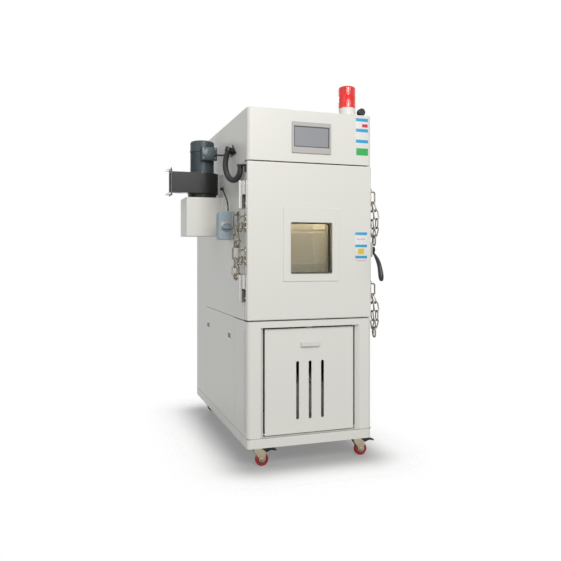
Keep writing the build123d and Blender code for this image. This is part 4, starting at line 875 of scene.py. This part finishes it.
def floor_finish():
    """Pale floor with a painted shadow near the chamber, where its colour is darkened, clearing to the white
    background further out.

    Both follow the distance from the chamber's footprint, drawn in by the inset: the length of the part of
    |p - middle| that is past its half size.
    """
    made = bpy.data.materials.new("studio_floor")
    made.use_nodes = True
    tree = made.node_tree
    shader = tree.nodes["Principled BSDF"]
    shader.inputs["Roughness"].default_value = 0.9
    shader.inputs["Specular IOR Level"].default_value = 0.1
    shader.inputs["Emission Color"].default_value = (1, 1, 1, 1)
    rays = tree.nodes.new("ShaderNodeLightPath")
    glow = math_node(tree, "MULTIPLY", rays.outputs["Is Camera Ray"], 0.22)
    tree.links.new(glow, shader.inputs["Emission Strength"])
    value = tree.nodes.new("ShaderNodeTexCoord").outputs["Object"]
    low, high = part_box("base_frame")
    middle = (low + high) / 2
    half = (high - low) / 2
    steps = [("SUBTRACT", (middle.x, middle.y, 0)), ("ABSOLUTE", None),
             ("SUBTRACT", (half.x - floor_inset, half.y - floor_inset, 0)),
             ("MAXIMUM", (0, 0, 0)), ("LENGTH", None)]
    for operation, other in steps:
        node = tree.nodes.new("ShaderNodeVectorMath")
        node.operation = operation
        tree.links.new(value, node.inputs[0])
        if other:
            node.inputs[1].default_value = other
        value = node.outputs["Value" if operation == "LENGTH" else "Vector"]
    ranges = []
    for numbers in (painted_floor_shadow, floor_clearing):
        spread = tree.nodes.new("ShaderNodeMapRange")
        spread.interpolation_type = "SMOOTHSTEP"
        tree.links.new(value, spread.inputs["Value"])
        for label, number in numbers.items():
            spread.inputs[label].default_value = number
        ranges.append(spread.outputs["Result"])
    # painted shadow: floor colour, darker the nearer it lies to the chamber
    painted_shadow_grey = tree.nodes.new("ShaderNodeCombineColor")
    for channel in ("Red", "Green", "Blue"):
        tree.links.new(ranges[0], painted_shadow_grey.inputs[channel])
    tree.links.new(painted_shadow_grey.outputs[0], shader.inputs["Base Color"])
    clear = tree.nodes.new("ShaderNodeBsdfTransparent")
    blend = tree.nodes.new("ShaderNodeMixShader")
    tree.links.new(ranges[1], blend.inputs[0])
    tree.links.new(shader.outputs[0], blend.inputs[1])
    tree.links.new(clear.outputs[0], blend.inputs[2])
    tree.links.new(blend.outputs[0], tree.nodes["Material Output"].inputs["Surface"])
    return made


floor_half = 7
floor_corners = [(x * floor_half, y * floor_half, 0) for x, y in ((-1, -1), (1, -1), (1, 1), (-1, 1))]
floor_mesh = bpy.data.meshes.new("studio_floor")
floor_mesh.from_pydata(floor_corners, [], [(0, 1, 2, 3)])
floor_mesh.materials.append(floor_finish())
floor = bpy.data.objects.new("studio_floor", floor_mesh)
bpy.context.scene.collection.objects.link(floor)


ambient_strength = 0.44
panel_count = 4.0
panel_turn = 0.9
panel_contrast = 0.36
panel_middle = 0.44
panel_rise = 0.30


def studio_world():
    """Even pale ambient light; white where the camera or clear glass looks out.

    Mirrors and gloss see soft bright and dark panels round the studio: middle + contrast times the sine of the
    compass angle, rising with height.
    """
    world = bpy.data.worlds.new("studio")
    world.use_nodes = True
    tree = world.node_tree
    ambient = tree.nodes["Background"]
    ambient.inputs["Color"].default_value = (0.97, 0.985, 1.0, 1)
    ambient.inputs["Strength"].default_value = ambient_strength
    white = tree.nodes.new("ShaderNodeBackground")
    white.inputs["Color"].default_value = (1, 1, 1, 1)
    rays = tree.nodes.new("ShaderNodeLightPath")
    seen = math_node(tree, "MAXIMUM", rays.outputs["Is Camera Ray"], rays.outputs["Is Transmission Ray"])
    direction = tree.nodes.new("ShaderNodeSeparateXYZ")
    tree.links.new(tree.nodes.new("ShaderNodeTexCoord").outputs["Generated"], direction.inputs[0])
    turn = math_node(tree, "ARCTAN2", direction.outputs["Y"], direction.outputs["X"])
    panels = math_node(tree, "SINE", math_node(tree, "MULTIPLY_ADD", turn, panel_count, panel_turn))
    panels = math_node(tree, "MULTIPLY_ADD", panels, panel_contrast, panel_middle)
    panels = math_node(tree, "MULTIPLY_ADD", direction.outputs["Z"], panel_rise, panels)
    gloss = math_node(tree, "MULTIPLY", rays.outputs["Is Glossy Ray"], panels)
    blend = tree.nodes.new("ShaderNodeMixShader")
    tree.links.new(math_node(tree, "MAXIMUM", seen, gloss), blend.inputs[0])
    tree.links.new(ambient.outputs[0], blend.inputs[1])
    tree.links.new(white.outputs[0], blend.inputs[2])
    tree.links.new(blend.outputs[0], tree.nodes["World Output"].inputs["Surface"])
    return world


bpy.context.scene.world = studio_world()


def area_light(name, place, target, size, power, colour=(1, 1, 1)):
    """Square soft light at a place, turned to a target, both in cabinet metres."""
    data = bpy.data.lights.new(name, "AREA")
    data.size = size
    data.energy = power
    data.color = colour
    made = bpy.data.objects.new(name, data)
    bpy.context.scene.collection.objects.link(made)
    place, target = at(place), at(target)
    made.location = place
    made.rotation_euler = Vector(target - place).to_track_quat("-Z", "Y").to_euler()


warm_white = (1.0, 0.985, 0.955)
area_light("key", place=(-0.15, -4.1, 3.45), target=(0, 0.2, 0.85), size=2.0, power=142, colour=warm_white)
area_light("fill", place=(-3.4, -2.2, 1.9), target=(-0.3, 0.3, 1.1), size=2.4, power=14,
           colour=(1.0, 0.985, 0.96))
area_light("rear", place=(0.05, 5.4, 2.4), target=(0, 0.8, 1.0), size=1.0, power=66)
area_light("working_space_lamp", place=(0.0, 0.30, 1.318), target=(0.0, 0.36, 0.9), size=0.16, power=6.0,
           colour=(1.0, 0.82, 0.56))

photo_width = 561
photo_focal_length = 615.3
camera_data = bpy.data.cameras.new("camera")
camera_data.sensor_width = 36
camera_data.lens = camera_data.sensor_width * photo_focal_length / photo_width
camera_data.shift_y = -0.0408
camera = bpy.data.objects.new("camera", camera_data)
bpy.context.scene.collection.objects.link(camera)
camera.location = at((-1.0798, -2.7635, 0.995))
camera.rotation_euler = (math.radians(90), 0, math.radians(-18.46))
bpy.context.scene.camera = camera
bpy.context.scene.view_settings.view_transform = "Standard"
